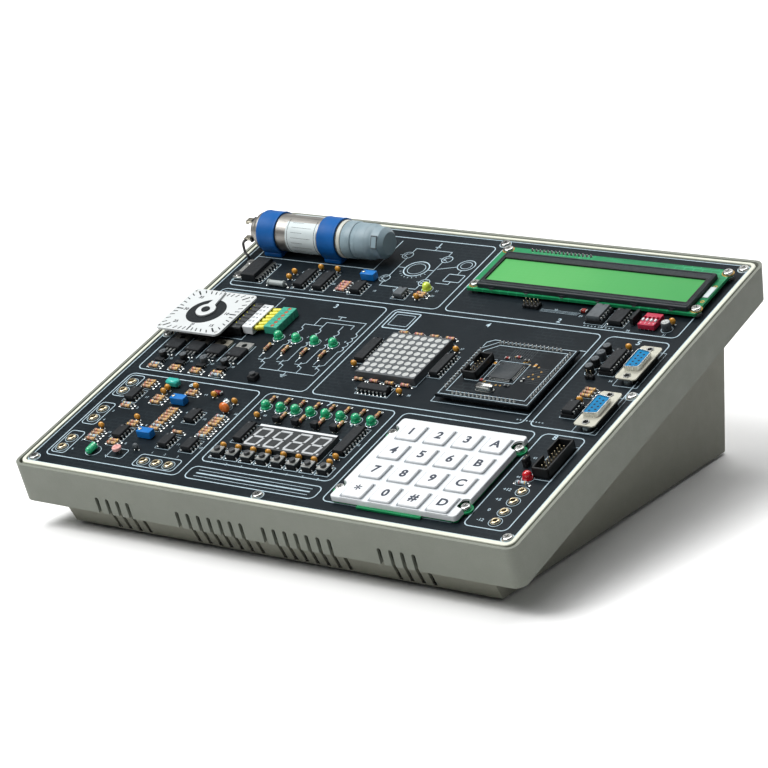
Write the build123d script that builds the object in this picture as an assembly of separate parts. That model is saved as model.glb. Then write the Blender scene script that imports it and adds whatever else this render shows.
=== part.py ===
from build123d import *
import os
import math

# ---------------- driving dimensions (mm, degrees) ----------------
TILT = 15.0                 # slope of the working panel
SCREW_X, SCREW_Y = 305.0, 250.0   # panel screw rectangle
PCB_X, PCB_Y, PCB_T = 312.0, 258.0, 1.6
BEZ_W, BEZ_TOP = 2.4, 0.9
GROOVE = 1.0
WALL = 1.8
SKIRT = 22.9                # depth of the tilted rim below the panel, front
SKIRT_R = 18.0              # and at the rear
BASE_X = 138.5              # half width of the wedge base
BASE_F_Y, BASE_F_N = -123.5, -40.4   # front bottom edge in panel axes
BASE_LEN = 226.5
FRONT_SETBACK = 6.0
REAR_LEAN = 8.0
FOOT_H = 2.0
ZC = 71.0 + FOOT_H
VENT_P, VENT_W = 7.0, 2.4
KEY_PX, KEY_PY, KEY_X, KEY_Y = 17.3, 17.2, 12.5, 12.6
KEY_TRAVEL = 1.0
TACT_TRAVEL = 0.3
RUN_FIT = 0.05

OX, OY = PCB_X / 2 + BEZ_W + GROOVE + WALL, PCB_Y / 2 + BEZ_W + GROOVE + WALL
s, c = math.sin(math.radians(TILT)), math.cos(math.radians(TILT))
PANEL = Location((0, 0, ZC), (TILT, 0, 0))

os.makedirs("parts", exist_ok=True)


def U(u): return (u - 0.5) * SCREW_X
def V(v): return (v - 0.5) * SCREW_Y


def box(x0, x1, y0, y1, z0, z1):
    return Pos((x0 + x1) / 2, (y0 + y1) / 2, (z0 + z1) / 2) * Box(abs(x1 - x0), abs(y1 - y0), abs(z1 - z0))


def cyl(x, y, r, z0, z1):
    return Pos(x, y, (z0 + z1) / 2) * Cylinder(r, z1 - z0)


def cylx(x0, x1, y, z, r):
    return Pos((x0 + x1) / 2, y, z) * Rot(0, 90, 0) * Cylinder(r, x1 - x0)


def cyly(y0, y1, x, z, r):
    return Pos(x, (y0 + y1) / 2, z) * Rot(90, 0, 0) * Cylinder(r, y1 - y0)


def rbox(x, y, w, d, z0, z1, r):
    return Pos(x, y, z0) * extrude(RectangleRounded(w, d, r), z1 - z0)


def prism_x(pts, x0, x1):
    # polygon given as (y, z), extruded along X
    f = make_face(Polyline(*[(x0, p[0], p[1]) for p in pts], close=True))
    return extrude(f, x1 - x0, dir=(1, 0, 0))


def solids(shape):
    if isinstance(shape, (list, tuple)):
        out = []
        for q in shape:
            out += solids(q)
        return out
    return list(shape.solids())


def save(name, *items, loc=None):
    ss = solids(list(items))
    shape = ss[0] if len(ss) == 1 else Compound(children=ss)
    if loc is not None:
        shape = shape.moved(loc)
    export_step(shape, "parts/" + name + ".step")


def panel_to_world(y, n):
    return (y * c - n * s, y * s + n * c + ZC)


# ---------------- case ----------------
def skirt_solid(o, top, bot):
    # rear wall stands upright in the world, so it slants in panel axes
    k = math.tan(math.radians(TILT))
    yr = OY - o
    botr = bot + SKIRT - SKIRT_R
    pts = [(-OY + o, top), (-OY + o, bot), (yr + k * (botr - 0.6), botr), (yr + k * (top - 0.6), top)]
    b = prism_x(pts, -OX + o, OX - o)
    r = max(6.0 - o, 1.0)
    e = [q for q in b.edges() if abs(abs(q.center().X) - (OX - o)) < 0.5 and abs(q.center().Y) > OY - o - 12]
    return fillet(e, r)


housing = skirt_solid(0, 0.6, -SKIRT) - skirt_solid(WALL, 5, -SKIRT + 2.0)
housing -= box(-128, 128, -120, 96, -SKIRT - 5, -SKIRT + 8)
# ledge that carries the board and the bezel
lx, ly = PCB_X / 2 + BEZ_W, PCB_Y / 2 + BEZ_W
ledge = box(-lx, lx, -ly, ly, -3.6, -PCB_T) - box(-lx + 10, lx - 10, -ly + 10, ly - 10, -6, 0)
tabs = [box(sx * lx if sx < 0 else lx, sx * (OX - WALL + 0.4), y - 9, y + 9, -3.6, -PCB_T) for sx in (-1, 1) for y in (-90, -30, 30, 90)]
tabs += [box(x - 9, x + 9, sy * ly, sy * (OY - WALL + 0.4), -3.6, -PCB_T) for sy in (-1,) for x in (-110, -40, 40, 110)]
tabs += [box(x - 9, x + 9, ly, OY - WALL - 0.2, -3.6, -PCB_T) for x in (-110, -40, 40, 110)]
SCREWS = [(sx * SCREW_X / 2, sy * SCREW_Y / 2) for sx in (-1, 0, 1) for sy in (-1, 0, 1) if (sx, sy) != (0, 0)]
bosses = [cyl(x, y, 3.6, -9.0, -PCB_T) for x, y in SCREWS]
housing = housing + [ledge] + tabs + bosses
for x, y in SCREWS:
    housing -= cyl(x, y, 1.25, -8.0, -1.0)
VENTS = []
for x0, n in ((-106.3, 4), (-51.4, 7), (5.0, 7), (78.0, 4)):
    VENTS += [x0 + i * VENT_P for i in range(n)]
vent_cut = [box(x - VENT_W / 2, x + VENT_W / 2, -OY - 3, -OY + WALL + 1.0, -SKIRT - 3, -14.0) +
            cyly(-OY - 3, -OY + WALL + 1.0, x, -14.0, VENT_W / 2) for x in VENTS]
for v in vent_cut:
    housing -= v
save("housing", housing, loc=PANEL)

bezel = extrude(RectangleRounded(2 * lx, 2 * ly, 5.0), BEZ_TOP + PCB_T) - extrude(RectangleRounded(PCB_X + 0.4, PCB_Y + 0.4, 3.0), 10)
bezel = bezel.moved(Location((0, 0, -PCB_T)))
be = [q for q in bezel.edges() if abs(q.center().Z - BEZ_TOP) < 0.01 and q.length > 20]
outer = [q for q in be if abs(abs(q.center().X) - lx) < 0.05 or abs(abs(q.center().Y) - ly) < 0.05]
try:
    bezel = fillet(outer, 0.8)
except Exception:
    pass
save("bezel_frame", bezel, loc=PANEL)

# wedge base, drawn in world axes
zb_f = panel_to_world(-OY, -SKIRT)
y_b0, z_b0 = panel_to_world(BASE_F_Y, BASE_F_N)
y_b1 = y_b0 + BASE_LEN
z_b0 = FOOT_H


def under_rim(y):
    # height of the lower rim plane at world y; the rim gets shallower to the rear
    m = (SKIRT - SKIRT_R) / (2 * OY - math.tan(math.radians(TILT)) * (SKIRT_R + 0.6))
    yp = (y - SKIRT * s + s * m * OY) / (c - s * m)
    n = -SKIRT + m * (yp + OY)
    return yp * s + n * c + ZC


def wedge(o, up, down):
    yf0, yf1 = zb_f[0] + FRONT_SETBACK + o * 1.1, y_b0 + o * 1.1
    yr1 = y_b1 - o
    yr0 = y_b1 + REAR_LEAN - o
    pts = [(yf0, under_rim(yf0) + up), (yf1, z_b0 + down), (yr1, z_b0 + down), (yr0, under_rim(yr0) + up)]
    return prism_x(pts, -BASE_X + o, BASE_X - o)


outer = wedge(0, 0, 0)
ev = [q for q in outer.edges() if abs(abs(q.center().X) - BASE_X) < 0.1 and q.center().Y > y_b1 - 5]
outer = fillet(ev, 5.0)
inner = wedge(2.0, 6.0, -6.0)
base = outer - inner
base_screw_pts = [(sx * 120, y) for sx in (-1, 1) for y in (y_b0 + 16, y_b1 - 14)]
bposts = []
for x, y in base_screw_pts:
    top = min(under_rim(y) - 8, z_b0 + 24)
    bposts.append(cyl(x, y, 4.0, z_b0 + 2.2, top))
    bposts.append(box(x, math.copysign(BASE_X - 1.5, x), y - 1.2, y + 1.2, z_b0 + 2.2, top))
base = base + bposts
for x, y in base_screw_pts:
    base -= cyl(x, y, 1.25, z_b0 - 1, z_b0 + 14)
IN_X, IN_Z = -70.0, 36.0
base -= box(IN_X - 24, IN_X + 24, y_b1 - 10, y_b1 + 12, IN_Z - 14, IN_Z + 14)
for x in VENTS:
    base -= box(x - VENT_W / 2, x + VENT_W / 2, zb_f[0] - 6, y_b0 + 1.1, z_b0 + 1.0, z_b0 + 40)
save("base_shell", base)

cov = box(-BASE_X + 2.3, BASE_X - 2.3, y_b0 + 3.0, y_b1 - 2.5, z_b0 + 0.2, z_b0 + 2.2)
for x, y in base_screw_pts:
    cov -= cyl(x, y, 1.7, z_b0 - 1, z_b0 + 4)
for i in range(9):
    for sx in (-1, 1):
        cov -= rbox(sx * 60, y_b0 + 60 + i * 10, 40, 3, z_b0 - 1, z_b0 + 4, 1.4)
save("bottom_cover", cov)

FEET = [(sx * 104, y) for sx in (-1, 1) for y in (y_b0 + 20, y_b1 - 24)]
save("feet", [cyl(x, y, 7.5, 0, z_b0 + 0.2) - cyl(x, y, 2.0, -1, 1.2) for x, y in FEET])

# ---------------- panel board ----------------
STEP_X, STEP_Y, STEP_H = -133.1, 14.65, 7.0
pcb = extrude(RectangleRounded(PCB_X, PCB_Y, 3.0), PCB_T).moved(Location((0, 0, -PCB_T)))
for x, y in SCREWS:
    pcb -= cyl(x, y, 1.7, -4, 1)
save("panel_board", pcb, loc=PANEL)


def screw(x, y, seat, length, r=2.9, h=1.5):
    head = cyl(x, y, r, seat, seat + h)
    head = fillet(head.edges().filter_by(GeomType.CIRCLE).sort_by(Axis.Z)[-1], 0.9)
    head -= box(x - 1.5, x + 1.5, y - 0.3, y + 0.3, seat + h - 0.7, seat + h + 1)
    head -= box(x - 0.3, x + 0.3, y - 1.5, y + 1.5, seat + h - 0.7, seat + h + 1)
    return head + cyl(x, y, 1.2, seat - length, seat + 0.1)


# ---------------- LCD ----------------
LCD_N = 2.0
LX0, LX1 = U(0.511) + 2.5, U(0.994)
LY0, LY1 = V(0.806) - 3.0, V(0.983) - 3.0
LCX, LCY = 2.5, -3.0
lcd_screw = [(U(a) + LCX * (1 if a < 0.7 else 0.4), V(b) - 3.0) for a in (0.5217, 0.985) for b in (0.971, 0.8245)]
lb = rbox((LX0 + LX1) / 2, (LY0 + LY1) / 2, LX1 - LX0, LY1 - LY0, LCD_N, LCD_N + 1.6, 1.0)
for x, y in lcd_screw:
    lb -= cyl(x, y, 1.6, 0, 10)
save("lcd_board", lb, loc=PANEL)
BX0, BX1, BY0, BY1 = 12.2, 145.9, 74.8, 109.6
VX0, VX1, VY0, VY1 = 15.2, 142.9, 79.2, 102.6
LT = LCD_N + 1.6
lbez = rbox((BX0 + BX1) / 2, (BY0 + BY1) / 2, BX1 - BX0, BY1 - BY0, LT, LT + 3.0, 1.2)
lbez = fillet(lbez.faces().sort_by(Axis.Z)[-1].edges(), 0.9)
lbez -= box(BX0 + 1.2, BX1 - 1.2, BY0 + 1.2, BY1 - 1.2, LT - 1, LT + 1.9)
lbez -= box(VX0, VX1, VY0, VY1, LT - 1, LT + 6)
save("lcd_bezel", lbez, loc=PANEL)
save("lcd_screen", box(BX0 + 1.4, BX1 - 1.4, BY0 + 1.4, BY1 - 1.4, LT + 0.05, LT + 1.85) +
     box(VX0 + 0.1, VX1 - 0.1, VY0 + 0.1, VY1 - 0.1, LT + 1.6, LT + 2.2), loc=PANEL)

# ---------------- keypad ----------------
KC, KG = (82.23, -85.45), (82.9, -87.8)    # centres of the plate and of the key grid
KPB, KPT = 0.4, 1.4            # keypad board bottom and top
PL0, PL1 = 3.4, 4.6
key_pts = [(KG[0] + (j - 1.5) * KEY_PX, KG[1] + (1.5 - i) * KEY_PY) for i in range(4) for j in range(4)]
kscrew = [(43.88, -61.3), (43.6, -111.1), (120.0, -58.55), (119.4, -110.0)]
kp = rbox(KC[0], KC[1], 76.7, 71.1, KPT, PL1, 2.0)
kp = fillet(kp.faces().sort_by(Axis.Z)[-1].edges(), 0.7)
kp -= rbox(KC[0], KC[1], 74.3, 69.9, KPT - 1, PL0, 1.0)
for x, y in key_pts:
    kp -= box(x - KEY_X / 2 - 0.25, x + KEY_X / 2 + 0.25, y - KEY_Y / 2 - 0.25, y + KEY_Y / 2 + 0.25, PL0 - 1, PL1 + 2)
for x, y in kscrew:
    kp -= cyl(x, y, 4.0, KPT - 1, PL1 + 2)
save("keypad_plate", kp, loc=PANEL)
kb = rbox(KC[0], KC[1], 76.0, 70.4, KPB, KPT, 1.5)
kb += [cyl(x, y, 3.9, KPB, KPT) for x, y in kscrew]
kb += box(KG[0] - 22.1, KG[0] + 16.7, KC[1] - 37.3, KC[1] - 34.5, KPB, KPT)
for x, y in kscrew:
    kb -= cyl(x, y, 1.6, 0, 4)
kb = [kb] + [cyl(x, y, 4.0, KPT - 0.05, KPT + 0.25) for x, y in key_pts]
kb += [box(KG[0] - 12.7, KG[0] + 7.3, KC[1] - 36.9, KC[1] - 35.6, 0.0, KPB)]
save("keypad_board", kb[0] + kb[1:], loc=PANEL)
for i, (x, y) in enumerate(key_pts):
    k0 = box(x - KEY_X / 2, x + KEY_X / 2, y - KEY_Y / 2, y + KEY_Y / 2, PL0 - 0.75, PL1 + 1.5)
    k0 = fillet(k0.edges().filter_by(Axis.Z), 1.3)
    k0 = fillet(k0.faces().sort_by(Axis.Z)[-1].edges(), 0.6)
    k0 += box(x - KEY_X / 2 - 0.4, x + KEY_X / 2 + 0.4, y - KEY_Y / 2 - 0.4, y + KEY_Y / 2 + 0.4, PL0 - 0.70, PL0 - 0.05)
    save("key_%02d" % i, k0, loc=PANEL)

# ---------------- tact switches, slide switch ----------------
TU = [U(0.3522 + i * 0.0325) for i in range(8)]
TY = V(0.1093)
sb = []
for x in TU:
    b = box(x - 3, x + 3, TY - 3, TY + 3, 0.0, 3.5) - cyl(x, TY, 2.35, 2.2, 3.0) - cyl(x, TY, 1.7 + RUN_FIT, 2.5, 4.0)
    for sy in (-1, 1):
        b += box(x - 3.9, x + 3.9, TY + sy * 2.2 - 0.35, TY + sy * 2.2 + 0.35, 0.0, 1.2)
    sb.append(b)
DX0, DX1, DY0, DY1, DH = U(0.900) + 1.6, U(0.933) + 1.6, V(0.743) - 2.0, V(0.789) - 2.0, 3.6
db = box(DX0, DX1, DY0, DY1, 0.0, DH)
dsl = []
for i in range(4):
    x = DX0 + (DX1 - DX0) * (i + 0.5) / 4
    y = (DY0 + DY1) / 2
    db -= box(x - 0.75, x + 0.75, y - 2.2, y + 2.2, DH - 1.1, DH + 1)
    dsl.append((x, y))
sb.append(db)
save("switch_bodies", sb, loc=PANEL)
for i, x in enumerate(TU):
    p = cyl(x, TY, 2.2, 2.52, 2.95) + cyl(x, TY, 1.7, 2.9, 5.0)
    p = fillet(p.edges().filter_by(GeomType.CIRCLE).sort_by(Axis.Z)[-1], 0.3)
    save("tact_%d" % i, p, loc=PANEL)
for i, (x, y) in enumerate(dsl):
    save("dip_%d" % i, box(x - 0.68, x + 0.68, y - 2.1, y - 0.1, DH - 1.05, DH + 0.7), loc=PANEL)

# ---------------- LED matrix and digits ----------------
mx0, mx1, my0, my1 = U(0.464) + 1.2, U(0.5897) + 1.2, V(0.4412) - 1.5, V(0.5987) - 1.5
MH = 4.6
mm = box(mx0, mx1, my0, my1, 0.0, MH)
mm = fillet(mm.faces().sort_by(Axis.Z)[-1].edges(), 0.4)
dots = []
for i in range(8):
    for j in range(8):
        x = (mx0 + mx1) / 2 + (j - 3.5) * 4.76
        y = (my0 + my1) / 2 + (i - 3.5) * 4.76
        dots.append((x, y))
        mm -= cyl(x, y, 1.9, MH - 0.35, MH + 1)
save("led_matrix", mm, loc=PANEL)
sx0, sx1, sy0, sy1 = U(0.3822) + 1.2, U(0.5482) + 1.2, -90.9, -71.1
SH = 3.2
seg = box(sx0, sx1, sy0, sy1, 0.0, SH)
seg = fillet(seg.faces().sort_by(Axis.Z)[-1].edges(), 0.4)
DIG_X = [U(a) + 1.2 for a in (0.4020, 0.4430, 0.4856, 0.5267)]
DIG_Y = (sy0 + sy1) / 2 - 0.9


def digit(x, y, h=15.8, w=9.0, t=1.5, sl=0.16):
    out = []
    hh = h / 2 - t / 2

    def bar(cx, cy, lx_, ly_):
        return (cx + sl * cy, cy, lx_, ly_)
    for cx, cy, lx_, ly_ in (bar(0, hh, w - 0.9 * t, t), bar(0, 0, w - 1.9 * t, t), bar(0, -hh, w - 0.9 * t, t),
                             bar(-w / 2 + t / 2, hh / 2, t, hh - 0.7 * t), bar(w / 2 - t / 2, hh / 2, t, hh - 0.7 * t),
                             bar(-w / 2 + t / 2, -hh / 2, t, hh - 0.7 * t), bar(w / 2 - t / 2, -hh / 2, t, hh - 0.7 * t)):
        if lx_ > ly_:
            out.append(box(x + cx - lx_ / 2, x + cx + lx_ / 2, y + cy - ly_ / 2, y + cy + ly_ / 2, SH - 0.3, SH + 1))
        else:
            e = sl * ly_ / 2
            f = make_face(Polyline((x + cx - lx_ / 2 - e, y + cy - ly_ / 2, SH - 0.3), (x + cx + lx_ / 2 - e, y + cy - ly_ / 2, SH - 0.3),
                                   (x + cx + lx_ / 2 + e, y + cy + ly_ / 2, SH - 0.3), (x + cx - lx_ / 2 + e, y + cy + ly_ / 2, SH - 0.3), close=True))
            out.append(extrude(f, 1.3, dir=(0, 0, 1)))
    return out


for x in DIG_X:
    for b in digit(x, DIG_Y):
        seg -= b
    seg -= cyl(x + 5.0, DIG_Y - 7.1, 0.75, SH - 0.3, SH + 1)
save("seven_segment", seg, loc=PANEL)

# ---------------- processor adapter ----------------
AX0, AX1, AY0, AY1 = U(0.6522) + 1.6, U(0.842) + 1.6, V(0.404) - 2.0, V(0.621) - 2.0
AB0, AB1 = 2.6, 4.2
af = make_face(Polyline((AX0, AY0, AB0), (AX1, AY0, AB0), (AX1, AY1, AB0), (AX0 + 9, AY1, AB0), (AX0, AY1 - 9, AB0), close=True))
ab = extrude(af, AB1 - AB0, dir=(0, 0, 1))
save("adapter_board", ab, loc=PANEL)
TQ = (U(0.7465) + 1.6, V(0.5116) - 2.0)

# ---------------- chips ----------------
ch = []


def dip(x0, x1, y0, y1, vertical=True, h=3.2, base=0.0, socket=False):
    z = base + (1.8 if socket else 0.0)
    if vertical:
        b = box(x0 + 0.7, x1 - 0.7, y0, y1, z + (0 if socket else 0.5), z + h) - cyl((x0 + x1) / 2, y1, 0.8, z + h - 0.5, z + h + 1)
        legs = box(x0 - 0.1, x1 + 0.1, y0 + 0.7, y1 - 0.7, base, z + 1.6)
    else:
        b = box(x0, x1, y0 + 0.7, y1 - 0.7, z + (0 if socket else 0.5), z + h) - cyl(x0, (y0 + y1) / 2, 0.8, z + h - 0.5, z + h + 1)
        legs = box(x0 + 0.7, x1 - 0.7, y0 - 0.1, y1 + 0.1, base, z + 1.6)
    if socket:
        legs += box(x0 - 0.3, x1 + 0.3, y0 - 0.4, y1 + 0.4, base, z)
    return [b + legs]


DIPS_V = [
    (0.798, 0.830, 0.737, 0.789, True), (0.840, 0.872, 0.737, 0.789, False),
    (0.3530, 0.3760, 0.157, 0.220, False), (0.562, 0.588, 0.166, 0.262, False),
    (0.4300, 0.4560, 0.49, 0.5733, False), (0.6000, 0.6230, 0.4747, 0.5530, False),
    (0.9080, 0.9340, 0.5615, 0.6380, True), (0.9080, 0.9330, 0.4017, 0.4432, True),
    (0.0560, 0.0820, 0.2390, 0.2800, False), (0.2200, 0.2450, 0.1960, 0.2360, False),
    (0.2200, 0.2450, 0.0990, 0.1390, False), (0.2720, 0.2970, 0.0990, 0.1390, False),
    (0.1130, 0.1380, 0.1030, 0.1430, False), (0.1550, 0.1810, 0.7350, 0.8020, False),
    (0.1990, 0.2250, 0.7350, 0.8020, False), (0.2830, 0.3090, 0.7390, 0.7790, False),
    (0.3800, 0.4050, 0.7420, 0.7720, False),
]
for u0, u1, v0, v1, so in DIPS_V:
    ch += dip(U(u0), U(u1), V(v0), V(v1), socket=so, h=2.8 if so else 3.2)
ch += dip(U(0.4958), U(0.5583), V(0.3840), V(0.4120), vertical=False)
# small flat packages below the power transistors
for u in (0.045, 0.093, 0.141, 0.189):
    ch += dip(U(u) - 3.6, U(u) + 3.6, V(0.3900), V(0.4010), h=2.0, vertical=True)
# quad flat package on the adapter
ch.append((box(TQ[0] - 7, TQ[0] + 7, TQ[1] - 7, TQ[1] + 7, AB1 + 0.1, AB1 + 1.2) - cyl(TQ[0] - 5.4, TQ[1] + 5.4, 0.6, AB1 + 1.1, AB1 + 2))
          + box(TQ[0] - 8.4, TQ[0] + 8.4, TQ[1] - 6.3, TQ[1] + 6.3, AB1, AB1 + 0.35) + box(TQ[0] - 6.3, TQ[0] + 6.3, TQ[1] - 8.4, TQ[1] + 8.4, AB1, AB1 + 0.35))
# four flat power transistors of the step motor and the bridge driver
PT = [(U(u), V(0.4955) - 2.3) for u in (0.045, 0.093, 0.141, 0.189)]
for x, y in PT:
    q = box(x - 5, x + 5, y - 3.6, y + 2.9, 0.4, 1.7) - cyl(x, y - 0.2, 1.7, 0, 3)
    q += box(x - 5, x + 5, y - 11.6, y - 3.5, 0.4, 2.8)
    q += box(x - 3.0, x + 3.0, y - 15.6, y - 11.5, 1.2, 1.7) + box(x - 3.0, x + 3.0, y - 15.6, y - 15.1, 0.0, 1.7)
    ch.append(q)
bx, by = U(0.0325), V(0.778)
q = box(U(0.0110), U(0.0330), by - 9.6, by + 9.6, 0.4, 1.9) - cyl(U(0.0190), by + 6.6, 1.6, 0, 4) - cyl(U(0.0190), by - 6.6, 1.6, 0, 4)
q += box(U(0.0325), U(0.0655), by - 9.6, by + 9.6, 0.4, 4.8)
q += box(U(0.0650), U(0.0655) + 3.6, by - 9.2, by + 9.2, 2.0, 2.5) + box(U(0.0655) + 3.1, U(0.0655) + 3.6, by - 9.2, by + 9.2, 0.0, 2.5)
ch.append(q)
save("chips", ch, loc=PANEL)

# ---------------- passives ----------------
pa = []


def res_h(u, v, L=6.2, r=1.1, x=None, y=None):
    x = U(u) if x is None else x
    y = V(v) if y is None else y
    b = cylx(x - L / 2, x + L / 2, y, r, r)
    w = box(x - L / 2 - 1.6, x + L / 2 + 1.6, y - 0.25, y + 0.25, 0, r + 0.25)
    return [b + w]


def res_v(u, v, L=6.2, r=1.1):
    x, y = U(u), V(v)
    b = cyly(y - L / 2, y + L / 2, x, r, r)
    w = box(x - 0.25, x + 0.25, y - L / 2 - 1.6, y + L / 2 + 1.6, 0, r + 0.25)
    return [b + w]


def disc_cap(u, v, d=3.8, t=2.2, h=4.2, ang=0.0):
    x, y = U(u), V(v)
    z = h - d / 2
    b = Pos(x, y, z) * Rot(0, 0, ang) * Rot(90, 0, 0) * Cylinder(d / 2, t)
    return [b + box(x - 1.5, x + 1.5, y - 0.25, y + 0.25, 0, z - d / 2 + 0.9)]


RES_H = [(0.076, v) for v in (0.315, 0.3048, 0.2947, 0.2250, 0.2160)] + \
        [(0.1267, v) for v in (0.2656, 0.2569, 0.2444)] + \
        [(0.1814, 0.3005), (0.1814, 0.2900)] + \
        [(0.2867, v) for v in (0.2293, 0.2192, 0.2090, 0.1990, 0.1830, 0.1740, 0.1646, 0.1550)] + \
        [(0.1802, v) for v in (0.2293, 0.2192, 0.2090, 0.1990, 0.1890, 0.1756, 0.1655, 0.1550)] + \
        [(0.1290, 0.1655), (0.1290, 0.1550), (0.2338, 0.1550)] + \
        [(0.0767, v) for v in (0.1175, 0.1074, 0.0972, 0.0870)] + \
        [(0.1279, 0.0940), (0.1279, 0.0840)] + \
        [(0.9200, 0.5010), (0.9200, 0.4898), (0.9200, 0.4786), (0.944, 0.1686)] + \
        [(0.2613, v) for v in (0.774, 0.7645, 0.755, 0.7455)] + [(0.434, 0.767), (0.434, 0.757)]
RES_H += [(u, v) for u in (0.045, 0.093, 0.141, 0.189) for v in (0.3800, 0.3705)]
RES_V = [(0.3522 + i * 0.0325, 0.3150) for i in range(8)]
RES_V += [(u, 0.2620) for u in (0.4044, 0.4456, 0.4867, 0.5278)]
RES_V += [(u, 0.496) for u in (0.2356, 0.276, 0.3176, 0.359)]
for u, v in RES_H:
    pa += res_h(u, v)
for u, v in RES_V:
    pa += res_v(u, v, L=4.4 if v > 0.26 and v < 0.35 else 6.2)
MRES = [(u, 0.6130) for u in (0.4767, 0.5092, 0.5433, 0.5767)] + [(u, 0.4275) for u in (0.4775, 0.5100, 0.5437, 0.5767)]
for u, v in MRES:
    pa += res_h(u, v, L=5.4)
pa += res_h(0.1200, 0.7340, L=12.0, r=2.0)
CAPS = [(0.3567 + 0.0, 0.2480, 0), (0.5807, 0.1520, 0), (0.442, 0.4740, 0), (0.6103, 0.5717, 0), (0.5800, 0.3990, 0),
        (0.923, 0.658, 0), (0.920, 0.4560, 0), (0.1255, 0.2960, 0), (0.1255, 0.2810, 0), (0.2326, 0.2955, 0),
        (0.2862, 0.2831, 0), (0.1279, 0.1790, 0), (0.0743, 0.1320, 0), (0.1325, 0.788, 0), (0.1325, 0.765, 0),
        (0.1788, 0.8168, 0), (0.2175, 0.8168, 0), (0.433, 0.7470, 0), (0.960, 0.7676, 0), (0.179, 0.3159, 0), (0.186, 0.08, 0)]
CAPS += [(0.3522 + i * 0.0325, 0.1310, 0) for i in range(8)]
for u, v, a in CAPS:
    pa += disc_cap(u, v, ang=a)
# box film capacitor, orange bead, radial cans
pa.append(box(U(0.1279) - 4.2, U(0.1279) + 4.2, V(0.3140) - 2.35, V(0.3140) + 2.35, 0, 4.6))
pa += disc_cap(0.2843, 0.2497, d=6.4, t=3.2, h=6.6)
CANS = [(0.2790, 0.2660, 2.0, 4.5), (0.889, 0.640, 2.5, 5.0), (0.889, 0.6146, 2.5, 5.0), (0.889, 0.589, 2.5, 5.0), (0.889, 0.5627, 2.5, 5.0),
        (0.9570, 0.7470, 2.6, 5.0)] + [(u, 0.4108, 2.3, 4.6) for u in (0.045, 0.093, 0.141, 0.189)]
for u, v, r, h in CANS:
    b = cyl(U(u), V(v), r, 0.3, h)
    b = fillet(b.edges().filter_by(GeomType.CIRCLE).sort_by(Axis.Z)[-1], 0.4)
    pa.append(b + box(U(u) - 1.2, U(u) + 1.2, V(v) - 0.25, V(v) + 0.25, 0, 0.35))
# small signal transistors (half round)
for u in (0.4044, 0.4456, 0.4867, 0.5278):
    x, y = U(u), V(0.2400)
    b = cyl(x, y, 2.3, 1.2, 4.6) - box(x - 4, x + 4, y - 4, y - 1.2, 0, 8)
    pa.append(b + box(x - 1.5, x + 1.5, y - 0.22, y + 0.22, 0, 1.3))
# trimmers
TRIM = [(0.1761, 0.2576), (0.1793, 0.1280), (0.2970, 0.8040)]
for u, v in TRIM:
    x, y = U(u), V(v)
    pa.append(box(x - 4.7, x + 4.7, y - 2.4, y + 2.4, 0, 4.8) + (cyl(x - 3.2, y, 0.95, 4.7, 5.2) - box(x - 4.3, x - 2.1, y - 0.2, y + 0.2, 4.9, 6)))
# light sensor disc, resistor network, small box, red bead and adapter parts
pa.append(cyl(U(0.1564), V(0.0600), 2.6, 2.0, 4.0) + box(U(0.1564) - 1.5, U(0.1564) + 1.5, V(0.06) - 0.25, V(0.06) + 0.25, 0, 2.1))
pa.append(box(U(0.888) - 1.2, U(0.888) + 1.2, V(0.7650) - 5.0, V(0.765) + 5.0, 0.3, 4.6))
pa.append(box(U(0.2326) - 3, U(0.2326) + 3, V(0.3085) - 1.6, V(0.3085) + 1.6, 0.0, 2.4))
pa.append(box(U(0.777) - 2.2, U(0.777) + 2.2, V(0.775) - 1.4, V(0.775) + 1.4, 0.0, 1.8))
xt = rbox((U(0.719) + U(0.7567)) / 2 + 1.6, (V(0.4304) + V(0.4503)) / 2 - 2.0, 11.0, 4.6, AB1, AB1 + 3.4, 2.25)
pa.append(fillet(xt.faces().sort_by(Axis.Z)[-1].edges(), 0.5))
for du, dv, w, d in ((0.7250, 0.5600, 3.2, 1.6), (0.7450, 0.5680, 3.2, 1.6), (0.7650, 0.5600, 3.2, 1.6), (0.7900, 0.5450, 1.6, 3.2),
                     (0.7900, 0.4900, 1.6, 3.2), (0.7150, 0.4730, 3.2, 1.6), (0.7700, 0.4640, 3.2, 1.6), (0.7120, 0.5350, 1.6, 3.2)):
    x, y = U(du) + 1.6, V(dv) - 2.0
    pa.append(box(x - w / 2, x + w / 2, y - d / 2, y + d / 2, AB1, AB1 + 0.8))
save("passives", pa, loc=PANEL)

# ---------------- LEDs ----------------
def led(x, y, r=2.45, h=4.8, base=0.0):
    b = cyl(x, y, r, base + 0.9, base + h)
    b = fillet(b.edges().filter_by(GeomType.CIRCLE).sort_by(Axis.Z)[-1], r - 0.25)
    b += cyl(x, y, r + 0.4, base, base + 1.0)
    return b


ld = [led(U(0.3522 + i * 0.0325), V(0.2880)) for i in range(8)]
ld += [led(U(u), V(0.5395)) for u in (0.2356, 0.276, 0.3176, 0.359)]
ld += [led(U(0.433), V(0.7900)), led(U(0.9458), V(0.189))]
ln = Pos(U(0.1038), V(0.0470), 2.3) * Rot(90, 0, 0) * Cylinder(2.2, 7.0)
ln = fillet(ln.edges().filter_by(GeomType.CIRCLE).sort_by(Axis.Y)[0], 1.9)
ld += [ln] + [box(U(0.1038) + q * 1.27 - 0.25, U(0.1038) + q * 1.27 + 0.25, V(0.047) + 3.4, V(0.047) + 5.4, 0.0, 2.5) for q in (-1, 1)]
save("leds", ld, loc=PANEL)

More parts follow.
